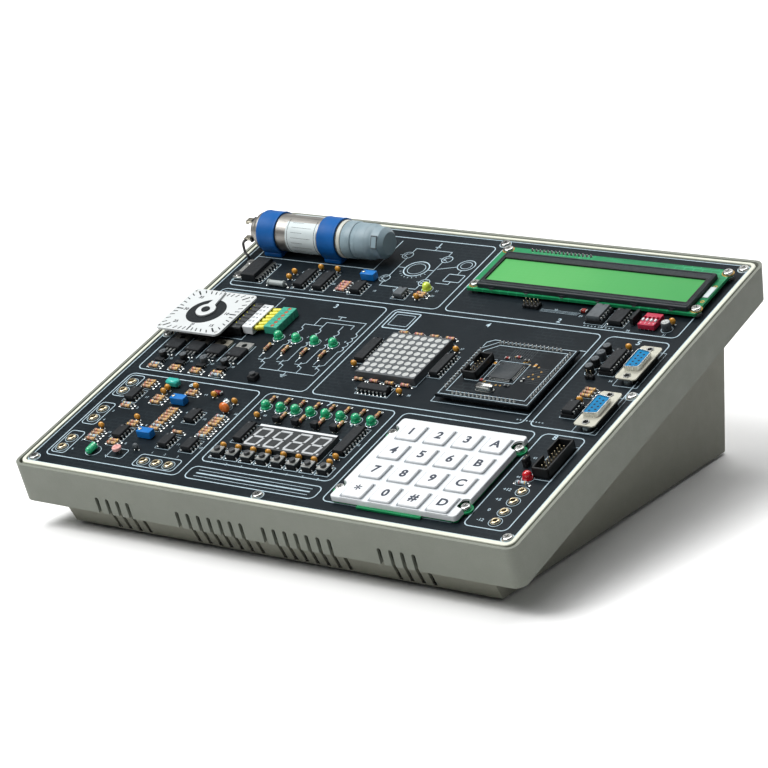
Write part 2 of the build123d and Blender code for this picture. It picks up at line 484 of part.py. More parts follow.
# ---------------- serial ports ----------------
sp = []
D9 = []
for v0, v1 in ((0.5427, 0.6659), (0.3695, 0.4944)):
    x = (U(0.9474) + U(0.988)) / 2 + 1.4
    y = (V(v0) + V(v1)) / 2 - 2.2
    D9.append((x, y))
    fl_ = rbox(x, y, 12.4, 30.8, 3.6, 4.4, 1.0)
    for sy in (-1, 1):
        fl_ -= cyl(x, y + sy * 12.5, 1.6, 0, 9)

    def dshape(w0, w1, L, z0, z1):
        f = make_face(Polyline((x - w0 / 2, y - L / 2, z0), (x + w0 / 2, y - L / 2 + 1.4, z0), (x + w0 / 2, y + L / 2 - 1.4, z0), (x - w0 / 2, y + L / 2, z0), close=True))
        e = extrude(f, z1 - z0, dir=(0, 0, 1))
        return fillet(e.edges().filter_by(Axis.Z), 1.4)
    shell = dshape(8.6, 8.6, 17.2, 4.2, 7.2) - dshape(7.8, 7.8, 16.4, 4.0, 8.0)
    ins = dshape(7.7, 7.7, 16.2, 3.8, 7.0)
    for k in range(5):
        ins -= cyl(x - 1.42, y + (k - 2) * 2.77, 0.65, 4.8, 8)
    for k in range(4):
        ins -= cyl(x + 1.42, y + (k - 1.5) * 2.77, 0.65, 4.8, 8)
    body = box(x - 5.2, x + 5.2, y - 10.5, y + 10.5, 0.0, 3.6)
    for sy in (-1, 1):
        body += cyl(x, y + sy * 12.5, 2.6, 0.0, 3.6) - cyl(x, y + sy * 12.5, 1.4, -1, 5)
    sp += [body + fl_ + shell + ins]
save("serial_ports", sp, loc=PANEL)

# ---------------- connectors ----------------
co = []


def header(x, y, n, along_x=True, rows=1, base=0.0, h=2.5, pin=5.4, gap=2.54):
    L, Wd = n * gap, rows * gap
    a, b = L / 2 - gap / 2 + 0.32, Wd / 2 - gap / 2 + 0.32
    if along_x:
        return [box(x - L / 2, x + L / 2, y - Wd / 2, y + Wd / 2, base, base + h) + box(x - a, x + a, y - b, y + b, base, base + pin)]
    return [box(x - Wd / 2, x + Wd / 2, y - L / 2, y + L / 2, base, base + h) + box(x - b, x + b, y - a, y + a, base, base + pin)]


# display header, adapter headers, jumpers
co += header((U(0.568) + U(0.700)) / 2 + 2.5, V(0.977) - 3.0, 16, base=LT, h=0.6, pin=1.6)
co += [box((U(0.568) + U(0.700)) / 2 + 2.5 - 20.3, (U(0.568) + U(0.700)) / 2 + 2.5 + 20.3, V(0.977) - 4.3, V(0.977) - 1.7, 0, LCD_N)]
ax, ay = (AX0 + AX1) / 2, (AY0 + AY1) / 2
co += header(U(0.7475) + 1.6, AY1 - 2.6, 16, base=AB1, h=0.9, pin=1.9)
co += header(U(0.7475) + 1.6, AY0 + 2.6, 16, base=AB1, h=0.9, pin=1.9)
co += header(AX0 + 2.6, V(0.5050) - 2.0, 15, along_x=False, base=AB1, h=0.9, pin=1.9)
co += header(AX1 - 2.6, V(0.5190) - 2.0, 17, along_x=False, base=AB1, h=0.9, pin=1.9)
for q in (AY1 - 2.6, AY0 + 2.6):
    co.append(box(U(0.7475) + 1.6 - 20.3, U(0.7475) + 1.6 + 20.3, q - 1.27, q + 1.27, 0.0, AB0))
for q, L, yc in ((AX0 + 2.6, 15, V(0.505) - 2.0), (AX1 - 2.6, 17, V(0.519) - 2.0)):
    co.append(box(q - 1.27, q + 1.27, yc - L * 1.27, yc + L * 1.27, 0.0, AB0))


def boxhead(x, y, n, w, L, base, h):
    b = box(x - w / 2, x + w / 2, y - L / 2, y + L / 2, base, base + h) - box(x - w / 2 + 1, x + w / 2 - 1, y - L / 2 + 1, y + L / 2 - 1, base + 1.2, base + h + 1)
    b -= box(x - w / 2 - 1, x - w / 2 + 2, y - 2, y + 2, base + 2.2, base + h + 1)
    for j in (-1, 1):
        b += box(x + j * 1.27 - 0.32, x + j * 1.27 + 0.32, y - (n - 1) * 1.27 - 0.32, y + (n - 1) * 1.27 + 0.32, base + 1.1, base + h - 1.2)
    return [b]


co += boxhead(U(0.6900) + 1.8, V(0.5098) - 2.0, 5, 8.6, 19.0, AB1, 4.6)
co += boxhead(U(0.9645) + 1.2, V(0.2560) - 1.6, 8, 9.6, 27.0, 0.0, 6.0)
co += header(U(0.9250), V(0.2296), 2, along_x=False, h=2.4, pin=5.4)
co += header(U(0.9130) - 4.4, V(0.5420), 2, along_x=True, h=2.4, pin=5.4)
co += header(U(0.6700), V(0.7718), 4, rows=2, h=2.2, pin=4.6)
# four-way, screw terminal and motor plug
TBX0, TBX1, TBY0, TBY1, TBH = -92.0, -82.6, 12.15, 32.95, 5.0
tb = box(TBX0, TBX1, TBY0, TBY1, 0.0, TBH)
tb = tb - prism_x([(TBY0 - 1, TBH + 1), (TBY0 - 1, TBH), (TBY0 - 0.5, TBH)], TBX0, TBX1)
for i in range(6):
    y = TBY0 + (TBY1 - TBY0) * (i + 0.5) / 6
    tb -= cyl((TBX0 + TBX1) / 2 + 0.8, y, 1.3, TBH - 1.6, TBH + 1)
    tb -= box(TBX0 - 1, TBX0 + 2.2, y - 1.1, y + 1.1, 1.4, 3.8)
    tb += cyl((TBX0 + TBX1) / 2 + 0.8, y, 1.1, TBH - 1.7, TBH - 0.5)
co.append(tb)
SOCK = [(0.0338 + 0.0, v) for v in (0.3057, 0.2714, 0.1965, 0.1617, 0.0827, 0.0479)] + \
       [(u, 0.0455) for u in (0.2224, 0.2505, 0.2790)] + [(0.956, v) for v in (0.1456, 0.1110, 0.0754, 0.0416)]
for u, v in SOCK:
    x, y = U(u), V(v)
    co.append(cyl(x, y, 2.75, 0.0, 1.5) - cyl(x, y, 1.15, -1, 3))
co.append(box(U(0.2720) - 2.6, U(0.2720) + 2.6, V(0.3785) - 2.6, V(0.3785) + 2.6, 0, 3.2) + cyl(U(0.2720), V(0.3785), 1.8, 3.1, 4.6))
save("connectors", co, loc=PANEL)

# ---------------- step motor with dial ----------------
SM = 15.0
sm = box(STEP_X - SM, STEP_X + SM, STEP_Y - SM, STEP_Y + SM, 0.0, STEP_H)
sm = chamfer(sm.edges().filter_by(Axis.Z), 3.5)
sm -= cyl(STEP_X, STEP_Y, 2.5 + RUN_FIT, 2.0, STEP_H + 1)
sm -= prism_x([(STEP_Y - 50, 3.6), (STEP_Y - 50, 3.9), (STEP_Y + 50, 3.9), (STEP_Y + 50, 3.6)], STEP_X - SM - 1, STEP_X - SM + 0.3)
sm += box(STEP_X + SM - 0.2, -104.1, 6.2, 29.0, 0.0, 6.2)
sm += box(-117.0, -104.1, 28.9, 32.2, 0.0, 6.2)
PLUG_X, PLUG_Y = -97.3, 20.0
plug = box(-104.2, PLUG_X, PLUG_Y - 11.6, PLUG_Y + 11.6, 0.8, 5.8)
for i in range(6):
    plug -= box(PLUG_X - 2.6, PLUG_X + 1, PLUG_Y + (i - 2.5) * 3.6 - 1.2, PLUG_Y + (i - 2.5) * 3.6 + 1.2, 2.0, 4.9)
save("stepper_motor", sm + plug, loc=PANEL)
dpl = rbox(STEP_X, STEP_Y, 45.0, 41.6, STEP_H, STEP_H + 1.2, 3.0) - cyl(STEP_X, STEP_Y, 3.2, 0, 40)
save("dial_plate", dpl, loc=PANEL)
PN = STEP_H + 1.2
ptr = cyl(STEP_X, STEP_Y, 6.0, PN + 0.3, PN + 1.5)
ptr = fillet(ptr.edges().filter_by(GeomType.CIRCLE).sort_by(Axis.Z)[-1], 0.4)
nf = make_face(Polyline((STEP_X - 2.6, STEP_Y + 5.2, PN + 0.3), (STEP_X + 2.6, STEP_Y + 5.2, PN + 0.3), (STEP_X + 0.7, STEP_Y + 19.0, PN + 0.3), (STEP_X - 0.7, STEP_Y + 19.0, PN + 0.3), close=True))
ptr += extrude(nf, 1.0, dir=(0, 0, 1))
ptr += cyl(STEP_X, STEP_Y, 2.5, 2.6, PN + 2.0)
save("dial_pointer", ptr, loc=PANEL)

# ---------------- DC motor ----------------
MR, MN, MY = 11.0, 12.0, 96.0
MX0, MX1 = -158.6, -58.0
mot = cylx(MX0 + 10, MX1 - 27.5, MY, MN, MR)
mot = fillet(mot.edges().filter_by(GeomType.CIRCLE), 1.6)
mot += cylx(MX0 + 5.5, MX0 + 10.4, MY, MN, 7.5)
for a in (90, 210, 330):
    k = math.radians(a)
    yy, zz = MY + 6.6 * math.cos(k), MN + 5.6 * math.sin(k)
    mot += box(MX0, MX0 + 6, yy - 2.2, yy + 2.2, zz - 1.6, zz + 1.6)
save("dc_motor", mot, loc=PANEL)
cap = cylx(MX1 - 27.5, MX1 - 21.0, MY, MN, 10.9) + cylx(MX1 - 21.1, MX1 - 8, MY, MN, 10.5) + cylx(MX1 - 8.1, MX1, MY, MN, 9.3)
cap = chamfer(cap.edges().filter_by(GeomType.CIRCLE).sort_by(Axis.X)[-1], 2.6)
cap = chamfer([q for q in cap.edges().filter_by(GeomType.CIRCLE) if abs(q.radius - 10.5) < 0.01 and abs(q.center().X - MX1 + 8) < 0.01], 1.1)
save("encoder_cap", cap, loc=PANEL)
st = []
for x0, x1 in ((MX0 + 13.5, MX0 + 26.5), (MX1 - 43.5, MX1 - 31.0)):
    ring = cylx(x0, x1, MY, MN, MR + 1.35) - cylx(x0 - 1, x1 + 1, MY, MN, MR + 0.02) - box(x0 - 1, x1 + 1, MY - 20, MY + 20, -5, 0.0)
    foot = box(x0, x1, MY - 9.5, MY + 9.5, 0.0, MN - 5.6) - cylx(x0 - 1, x1 + 1, MY, MN, MR + 0.02)
    st += [ring + foot]
save("motor_straps", st, loc=PANEL)

# ---------------- fasteners ----------------
sc = [screw(x, y, 0.0, 7.0) for x, y in SCREWS]
sc += [screw(x, y, LT, LT - LCD_N + 0.9) + (cyl(x, y, 2.6, 0.0, LCD_N)) for x, y in lcd_screw]
sc += [screw(x, y, KPT, KPT, r=2.7, h=2.2) + cyl(x, y, 3.0, 0.0, KPB) for x, y in kscrew]
sc = [q.moved(PANEL) for q in sc]
for x, y in base_screw_pts:
    sc.append((cyl(x, y, 2.9, z_b0 - 1.2, z_b0 + 0.2) - box(x - 1.5, x + 1.5, y - 0.3, y + 0.3, z_b0 - 2, z_b0 - 0.7)
               - box(x - 0.3, x + 0.3, y - 1.5, y + 1.5, z_b0 - 2, z_b0 - 0.7)) + cyl(x, y, 1.2, z_b0 + 0.1, z_b0 + 10))
save("screws", sc)

# ---------------- inside the base ----------------
FLOOR = z_b0 + 2.2
PS = (58.0, y_b0 + 150.0)
psb = [rbox(PS[0], PS[1], 110, 80, FLOOR + 6.0, FLOOR + 7.6, 2.0)]
for sx in (-1, 1):
    for sy in (-1, 1):
        psb.append(cyl(PS[0] + sx * 50, PS[1] + sy * 35, 3.0, FLOOR, FLOOR + 6.0))
T0 = FLOOR + 7.6
for k, (dx, dy, r, h) in enumerate(((-38, 20, 8, 18), (-18, 20, 8, 18), (4, 22, 5, 12), (18, 22, 5, 12), (32, 22, 5, 12))):
    b = cyl(PS[0] + dx, PS[1] + dy, r, T0, T0 + h)
    psb.append(fillet(b.edges().filter_by(GeomType.CIRCLE).sort_by(Axis.Z)[-1], 0.6))
for dx in (-30, -6, 18):
    psb.append(box(PS[0] + dx - 8, PS[0] + dx + 8, PS[1] - 14, PS[1] - 11, T0, T0 + 20))
    psb += [box(PS[0] + dx - 8, PS[0] + dx + 8, PS[1] - 20 + 0, PS[1] - 18.6, T0, T0 + 20), box(PS[0] + dx - 8, PS[0] + dx + 8, PS[1] - 18.7, PS[1] - 13.9, T0, T0 + 3)]
    psb.append(box(PS[0] + dx - 5, PS[0] + dx + 5, PS[1] - 11.0, PS[1] - 6.6, T0 + 3, T0 + 17))
    psb += [box(PS[0] + dx + i * 2.54 - 0.4, PS[0] + dx + i * 2.54 + 0.4, PS[1] - 9.4, PS[1] - 8.8, T0, T0 + 3.1) for i in (-1, 0, 1)]
psb.append(box(PS[0] + 36, PS[0] + 50, PS[1] - 20, PS[1] - 8, T0, T0 + 9))
psb.append(box(PS[0] - 52, PS[0] - 44, PS[1] - 22, PS[1] + 2, T0, T0 + 9))
save("psu_board", psb)
TR = (-62.0, y_b0 + 140.0)
core = box(TR[0] - 28, TR[0] + 28, TR[1] - 12, TR[1] + 12, FLOOR + 1.6, FLOOR + 48) - box(TR[0] - 18, TR[0] - 8, TR[1] - 14, TR[1] + 14, FLOOR + 10, FLOOR + 39) - box(TR[0] + 8, TR[0] + 18, TR[1] - 14, TR[1] + 14, FLOOR + 10, FLOOR + 39)
coil = rbox(TR[0], TR[1], 35, 40, FLOOR + 10.5, FLOOR + 38.5, 4.0)
foot = box(TR[0] - 38, TR[0] + 38, TR[1] - 12, TR[1] + 12, FLOOR, FLOOR + 1.7)
save("transformer", core + coil + foot)
# inlet with fuse drawer and switch bay, seated on the rear wall
IY = y_b1 + 5.2
inl = rbox(0, 0, 54, 33, 0, 2.2, 3.0).moved(Location((IN_X, IY + 2.4, IN_Z), (90, 0, 0)))
ib = box(IN_X - 23.8, IN_X + 23.8, IY - 22, IY + 1.0, IN_Z - 13.8, IN_Z + 13.8)
cav = box(IN_X - 21.5, IN_X + 3.5, IY - 14, IY + 6, IN_Z - 8.5, IN_Z + 8.5)
RK = (IN_X + 13.2, IY - 2.2, IN_Z)
bay = box(RK[0] - 7.0, RK[0] + 7.0, IY - 12, IY + 6, IN_Z - 10.5, IN_Z + 10.5)
inl = (inl + ib) - cav - bay
for dx, dz in ((-9.0, 3.0), (-16.0, -1.5), (-2.0, -1.5)):
    inl += box(IN_X + dx - 1.0, IN_X + dx + 1.0, IY - 14.5, IY - 1.0, IN_Z + dz - 2.2, IN_Z + dz + 2.2)
for dx in (-14, 0, 14):
    inl += box(IN_X + dx - 3.1, IN_X + dx + 3.1, IY - 29, IY - 21.8, IN_Z - 0.4 - 4, IN_Z + 0.4 - 4)
ped = [box(RK[0] + sx * 7.1, RK[0] + sx * 6.0, RK[1] - 2.5, RK[1] + 2.5, RK[2] - 2.5, RK[2] + 2.5) - cylx(RK[0] - 9, RK[0] + 9, RK[1], RK[2], 1.5 + RUN_FIT) for sx in (-1, 1)]
inl += ped
save("mains_inlet", inl)
rk = prism_x([(RK[1] - 3.4, RK[2] - 4.2), (RK[1] + 4.2, RK[2] - 9.6), (RK[1] + 6.2, RK[2] - 9.6), (RK[1] + 4.2, RK[2]), (RK[1] + 6.2, RK[2] + 9.6),
              (RK[1] + 4.2, RK[2] + 9.6), (RK[1] - 3.4, RK[2] + 4.2)], RK[0] - 5.9, RK[0] + 5.9)
rk += cylx(RK[0] - 6.9, RK[0] + 6.9, RK[1], RK[2], 1.5)
rk = rk.rotate(Axis((RK[0], RK[1], RK[2]), (1, 0, 0)), -7.0)
save("rocker", rk)


def wire(pts, r):
    v = [Vector(*p) for p in pts]
    rad = []
    for i in range(1, len(v) - 1):
        a, b = v[i] - v[i - 1], v[i + 1] - v[i]
        turn = math.radians(a.get_angle(b))
        rad.append(0.45 * min(a.length, b.length) / math.tan(turn / 2))
    path = FilletPolyline(*pts, radius=rad)
    f = Plane(origin=pts[0], z_dir=(v[1] - v[0]).normalized()) * Circle(r)
    return sweep(f, path=path)


W = []
# mains leads: inlet to transformer
for k, dx in enumerate((-14, 14)):
    W.append(wire([(IN_X + dx, IY - 29.2, IN_Z - 4), (IN_X + dx, IY - 38, IN_Z - 3), (TR[0] + dx * 0.5, TR[1] + 30, FLOOR + 26 + k), (TR[0] + dx * 0.5, TR[1] + 20.4, FLOOR + 26 + k)], 1.1))
# secondary leads: transformer to supply board
for k in range(3):
    W.append(wire([(TR[0] + 2 + k * 5, TR[1] - 20.4, FLOOR + 32 - k * 5), (TR[0] + 2 + k * 5, TR[1] - 26, FLOOR + 33 - k * 5), (PS[0] - 62, PS[1] - 18 + k * 5, T0 + 20 - k * 2),
                   (PS[0] - 48, PS[1] - 16 + k * 5, T0 + 17), (PS[0] - 48, PS[1] - 16 + k * 5, T0 + 9.05)], 0.9))
# supply leads up to the board
ub, ua = panel_to_world(20, -1.65), panel_to_world(20, -14.0)
for k in range(4):
    x = PS[0] + 38 + k * 3.4
    W.append(wire([(x, PS[1] - 14, T0 + 9.2), (x, PS[1] - 15, T0 + 20), (x, ua[0], ua[1]), (x, ub[0], ub[1])], 0.8))
# motor leads on the panel
MW = []
for i in range(6):
    y0_ = PLUG_Y + (i - 2.5) * 3.6
    y1_ = TBY0 + (TBY1 - TBY0) * (i + 0.5) / 6
    MW.append(wire([(PLUG_X - 2.4, y0_, 3.4), (PLUG_X + 0.9, y0_ + (y1_ - y0_) * 0.06, 3.7), (TBX0 - 1.2, y1_ - (y1_ - y0_) * 0.06, 2.9), (TBX0 + 1.6, y1_, 2.6)], 0.85))
MW = [q.moved(PANEL) for q in MW]
dcw = []
for sy in (-1, 1):
    y0_ = MY + sy * (6.6 * math.cos(math.radians(30)) + 2.3)
    zz = MN - 2.8
    dcw.append(wire([(MX0 + 2.0, y0_, zz), (MX0 + 2.0, y0_ + sy * 3.2, zz - 0.3), (MX0 + 4.0, y0_ + sy * 6.0, zz - 4.6), (MX0 + 6.0, y0_ + sy * 6.7, zz - 6.4), (MX0 + 6.0, y0_ + sy * 6.7, 0.05)], 0.8).moved(PANEL))
save("wiring", W + MW + dcw)
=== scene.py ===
import bpy
import bmesh
import math
import random
from mathutils import Vector, Matrix


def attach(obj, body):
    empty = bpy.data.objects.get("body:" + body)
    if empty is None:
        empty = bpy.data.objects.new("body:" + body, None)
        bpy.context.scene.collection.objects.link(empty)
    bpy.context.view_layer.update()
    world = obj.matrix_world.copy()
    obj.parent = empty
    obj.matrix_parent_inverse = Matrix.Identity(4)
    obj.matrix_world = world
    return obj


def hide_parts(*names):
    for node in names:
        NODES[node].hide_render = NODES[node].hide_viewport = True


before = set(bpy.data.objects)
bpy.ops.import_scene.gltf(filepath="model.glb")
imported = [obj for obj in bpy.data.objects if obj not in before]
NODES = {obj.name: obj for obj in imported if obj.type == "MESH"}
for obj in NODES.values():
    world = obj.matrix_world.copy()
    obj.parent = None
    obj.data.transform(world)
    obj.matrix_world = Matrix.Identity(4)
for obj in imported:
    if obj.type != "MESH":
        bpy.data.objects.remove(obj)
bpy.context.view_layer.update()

random.seed(11)

# ------------------------------------------------------------------ layout
TILT = math.radians(15.0)
ZC = 73.0
PM = Matrix.Translation((0, 0, ZC / 1000)) @ Matrix.Rotation(TILT, 4, "X") @ Matrix.Scale(0.001, 4)
WM = Matrix.Scale(0.001, 4)
S15, C15 = math.sin(TILT), math.cos(TILT)


def U(u): return (u - 0.5) * 305.0
def V(v): return (v - 0.5) * 250.0


# ------------------------------------------------------------------ materials
MATS = {}


def nt(name):
    m = bpy.data.materials.new(name)
    m.use_nodes = True
    t = m.node_tree
    b = t.nodes["Principled BSDF"]
    return m, t, b


def noise(t, scale, detail=4.0, rough=0.5, vec=None, dist=0.0):
    n = t.nodes.new("ShaderNodeTexNoise")
    n.inputs["Scale"].default_value = scale
    n.inputs["Detail"].default_value = detail
    n.inputs["Roughness"].default_value = rough
    n.inputs["Distortion"].default_value = dist
    if vec is not None:
        t.links.new(vec, n.inputs["Vector"])
    return n


def coords(t, stretch=(1, 1, 1)):
    tc = t.nodes.new("ShaderNodeTexCoord")
    mp = t.nodes.new("ShaderNodeMapping")
    mp.inputs["Scale"].default_value = stretch
    t.links.new(tc.outputs["Object"], mp.inputs["Vector"])
    return mp.outputs["Vector"]


def mixc(t, fac, a, b):
    m = t.nodes.new("ShaderNodeMix")
    m.data_type = "RGBA"
    if isinstance(fac, float):
        m.inputs[0].default_value = fac
    else:
        t.links.new(fac, m.inputs[0])
    for sock, val in ((m.inputs[6], a), (m.inputs[7], b)):
        if isinstance(val, tuple):
            sock.default_value = (*val[:3], 1)
        else:
            t.links.new(val, sock)
    return m.outputs[2]


def ramp(t, fac, p0, p1, v0=0.0, v1=1.0):
    r = t.nodes.new("ShaderNodeMapRange")
    r.inputs["From Min"].default_value = p0
    r.inputs["From Max"].default_value = p1
    r.inputs["To Min"].default_value = v0
    r.inputs["To Max"].default_value = v1
    t.links.new(fac, r.inputs["Value"])
    return r.outputs["Result"]


def make(name, base, rough=0.5, metal=0.0, var=0.10, vscale=60.0, bump=0.15, bscale=900.0, bdist=0.0001,
         rvar=0.08, stretch=(1, 1, 1), coat=0.0, trans=0.0, emit=0.0, spec=0.5, dirt=0.0, dirtcol=(0.12, 0.11, 0.09), ior=1.5):
    m, t, b = nt(name)
    v = coords(t, stretch)
    n1 = noise(t, vscale, 5.0, 0.6, v)
    f1 = ramp(t, n1.outputs["Fac"], 0.3, 0.7)
    dk = tuple(max(0.0, q * (1 - var)) for q in base)
    lt = tuple(min(1.0, q * (1 + var * 0.7)) for q in base)
    col = mixc(t, f1, dk, lt)
    if dirt > 0:
        n4 = noise(t, vscale * 0.22, 6.0, 0.7, v)
        f4 = ramp(t, n4.outputs["Fac"], 0.52, 0.78, 0.0, dirt)
        col = mixc(t, f4, col, dirtcol)
    t.links.new(col, b.inputs["Base Color"])
    n2 = noise(t, vscale * 3.1, 4.0, 0.6, v)
    t.links.new(ramp(t, n2.outputs["Fac"], 0.3, 0.7, max(0.02, rough - rvar), min(1.0, rough + rvar)), b.inputs["Roughness"])
    n3 = noise(t, bscale, 3.0, 0.55, v)
    bp = t.nodes.new("ShaderNodeBump")
    bp.inputs["Strength"].default_value = bump
    bp.inputs["Distance"].default_value = bdist
    t.links.new(n3.outputs["Fac"], bp.inputs["Height"])
    t.links.new(bp.outputs["Normal"], b.inputs["Normal"])
    b.inputs["Metallic"].default_value = metal
    b.inputs["Coat Weight"].default_value = coat
    b.inputs["Coat Roughness"].default_value = 0.12
    b.inputs["Transmission Weight"].default_value = trans
    b.inputs["IOR"].default_value = ior
    b.inputs["Specular IOR Level"].default_value = spec
    if emit > 0:
        t.links.new(col, b.inputs["Emission Color"])
        b.inputs["Emission Strength"].default_value = emit
    MATS[name] = m
    return m


def hexc(h, k=1.0):
    h = h.lstrip("#")
    out = []
    for i in (0, 2, 4):
        q = int(h[i:i + 2], 16) / 255.0
        out.append(k * (q / 12.92 if q <= 0.04045 else ((q + 0.055) / 1.055) ** 2.4))
    return tuple(out)


def paint(name, base, rough=0.55, grain=1500.0, depth=0.35):
    # powder coat: fine pebble over slow shade changes, with rubbed lighter patches
    m, t, b = nt(name)
    v = coords(t)
    big = noise(t, 9.0, 5.0, 0.6, v)
    mid = noise(t, 130.0, 4.0, 0.6, v)
    fine = noise(t, grain, 3.0, 0.6, v)
    cell = t.nodes.new("ShaderNodeTexVoronoi")
    cell.inputs["Scale"].default_value = grain * 0.9
    t.links.new(v, cell.inputs["Vector"])
    c1 = mixc(t, ramp(t, big.outputs["Fac"], 0.3, 0.7), tuple(q * 0.90 for q in base), tuple(min(1, q * 1.06) for q in base))
    c2 = mixc(t, ramp(t, fine.outputs["Fac"], 0.35, 0.7, 0.0, 0.22), c1, tuple(q * 0.72 for q in base))
    c3 = mixc(t, ramp(t, mid.outputs["Fac"], 0.62, 0.82, 0.0, 0.25), c2, tuple(min(1, q * 1.18) for q in base))
    t.links.new(c3, b.inputs["Base Color"])
    t.links.new(ramp(t, mid.outputs["Fac"], 0.3, 0.7, rough - 0.06, rough + 0.08), b.inputs["Roughness"])
    mx = t.nodes.new("ShaderNodeMath")
    mx.operation = "ADD"
    t.links.new(fine.outputs["Fac"], mx.inputs[0])
    t.links.new(cell.outputs["Distance"], mx.inputs[1])
    bp = t.nodes.new("ShaderNodeBump")
    bp.inputs["Strength"].default_value = depth
    bp.inputs["Distance"].default_value = 0.00015
    t.links.new(mx.outputs[0], bp.inputs["Height"])
    t.links.new(bp.outputs["Normal"], b.inputs["Normal"])
    MATS[name] = m
    return m


def brushed(name, base, rough=0.32, stretch=(1, 40, 1), metal=1.0, var=0.2, scale=60.0):
    m, t, b = nt(name)
    v = coords(t, stretch)
    n1 = noise(t, scale, 6.0, 0.7, v)
    v2 = coords(t)
    n2 = noise(t, 45.0, 5.0, 0.6, v2)
    c1 = mixc(t, ramp(t, n1.outputs["Fac"], 0.3, 0.7), tuple(q * (1 - var) for q in base), tuple(min(1, q * (1 + var * 0.5)) for q in base))
    c2 = mixc(t, ramp(t, n2.outputs["Fac"], 0.55, 0.8, 0.0, 0.35), c1, tuple(q * 0.62 for q in base))
    t.links.new(c2, b.inputs["Base Color"])
    t.links.new(ramp(t, n1.outputs["Fac"], 0.3, 0.7, rough - 0.08, rough + 0.12), b.inputs["Roughness"])
    bp = t.nodes.new("ShaderNodeBump")
    bp.inputs["Strength"].default_value = 0.12
    bp.inputs["Distance"].default_value = 0.00008
    t.links.new(n1.outputs["Fac"], bp.inputs["Height"])
    t.links.new(bp.outputs["Normal"], b.inputs["Normal"])
    b.inputs["Metallic"].default_value = metal
    MATS[name] = m
    return m


def board(name, base, trace, rough=0.28, coat=0.4, amt=0.5, spec=0.5):
    # solder mask with copper runs showing through as faint relief
    m, t, b = nt(name)
    v = coords(t)
    br = t.nodes.new("ShaderNodeTexBrick")
    br.inputs["Scale"].default_value = 90.0
    br.inputs["Mortar Size"].default_value = 0.035
    br.inputs["Mortar Smooth"].default_value = 0.1
    br.inputs["Color1"].default_value = (0, 0, 0, 1)
    br.inputs["Color2"].default_value = (0.15, 0.15, 0.15, 1)
    br.inputs["Mortar"].default_value = (1, 1, 1, 1)
    br.offset = 0.37
    t.links.new(v, br.inputs["Vector"])
    gate = noise(t, 28.0, 2.0, 0.5, v)
    fine = noise(t, 240.0, 4.0, 0.6, v)
    slow = noise(t, 7.0, 4.0, 0.6, v)
    mm = t.nodes.new("ShaderNodeMath")
    mm.operation = "MULTIPLY"
    t.links.new(br.outputs["Color"], mm.inputs[0])
    t.links.new(ramp(t, gate.outputs["Fac"], 0.48, 0.56), mm.inputs[1])
    c0 = mixc(t, ramp(t, slow.outputs["Fac"], 0.3, 0.7), tuple(q * 0.8 for q in base), tuple(q * 1.25 for q in base))
    c1 = mixc(t, ramp(t, fine.outputs["Fac"], 0.35, 0.75, 0.0, 0.3), c0, tuple(q * 1.7 for q in base))
    sc = t.nodes.new("ShaderNodeMath")
    sc.operation = "MULTIPLY"
    sc.inputs[1].default_value = amt
    t.links.new(mm.outputs[0], sc.inputs[0])
    c2 = mixc(t, sc.outputs[0], c1, trace)
    t.links.new(c2, b.inputs["Base Color"])
    t.links.new(ramp(t, fine.outputs["Fac"], 0.3, 0.7, rough - 0.05, rough + 0.08), b.inputs["Roughness"])
    bp = t.nodes.new("ShaderNodeBump")
    bp.inputs["Strength"].default_value = 0.25
    bp.inputs["Distance"].default_value = 0.00005
    t.links.new(mm.outputs[0], bp.inputs["Height"])
    t.links.new(bp.outputs["Normal"], b.inputs["Normal"])
    b.inputs["Coat Weight"].default_value = coat
    b.inputs["Coat Roughness"].default_value = 0.15
    b.inputs["Specular IOR Level"].default_value = spec
    MATS[name] = m
    return m


paint("case_paint", hexc("#70746a"), 0.58)
paint("base_paint", hexc("#737468"), 0.62)
paint("cover_paint", hexc("#77766c"), 0.6, 1100)
# pale cream on the bezel frame is a painted highlight along the rim's rounded top edge; the rim itself is the case
# colour
make("bezel_cream", hexc("#cdd0c0"), 0.42, var=0.06, vscale=30, bump=0.12, bscale=1600, dirt=0.18, dirtcol=hexc("#b9b7a0"))
make("frame_black", (0.014, 0.020, 0.023), 0.45, var=0.25, vscale=150, bump=0.25, bscale=1500, spec=0.25)
make("chip_dark", (0.020, 0.026, 0.030), 0.5, var=0.25, vscale=220, bump=0.4, bscale=2600, spec=0.3)
make("rubber_black", (0.018, 0.018, 0.018), 0.75, var=0.3, vscale=200, bump=0.4, bscale=1800)
board("panel_mask", (0.0062, 0.0098, 0.0128), (0.018, 0.026, 0.031), 0.38, 0.0, 0.35, 0.10)
board("adapter_mask", (0.0052, 0.0076, 0.0098), (0.020, 0.028, 0.032), 0.36, 0.0, 0.55, 0.12)
board("green_mask", hexc("#127446"), hexc("#2f9c6c"), 0.32, 0.1, 0.7, 0.3)
make("silk", hexc("#a3b8c2"), 0.6, var=0.22, vscale=500, bump=0.2, bscale=3000)
make("silk_white", hexc("#c6ced0"), 0.6, var=0.15, vscale=500, bump=0.2, bscale=3000)
brushed("screw_steel", (0.58, 0.59, 0.57), 0.24, (1, 1, 1))
brushed("tin", (0.50, 0.52, 0.51), 0.3, (1, 1, 1))
brushed("tab_steel", (0.62, 0.63, 0.60), 0.3, (1, 30, 1))
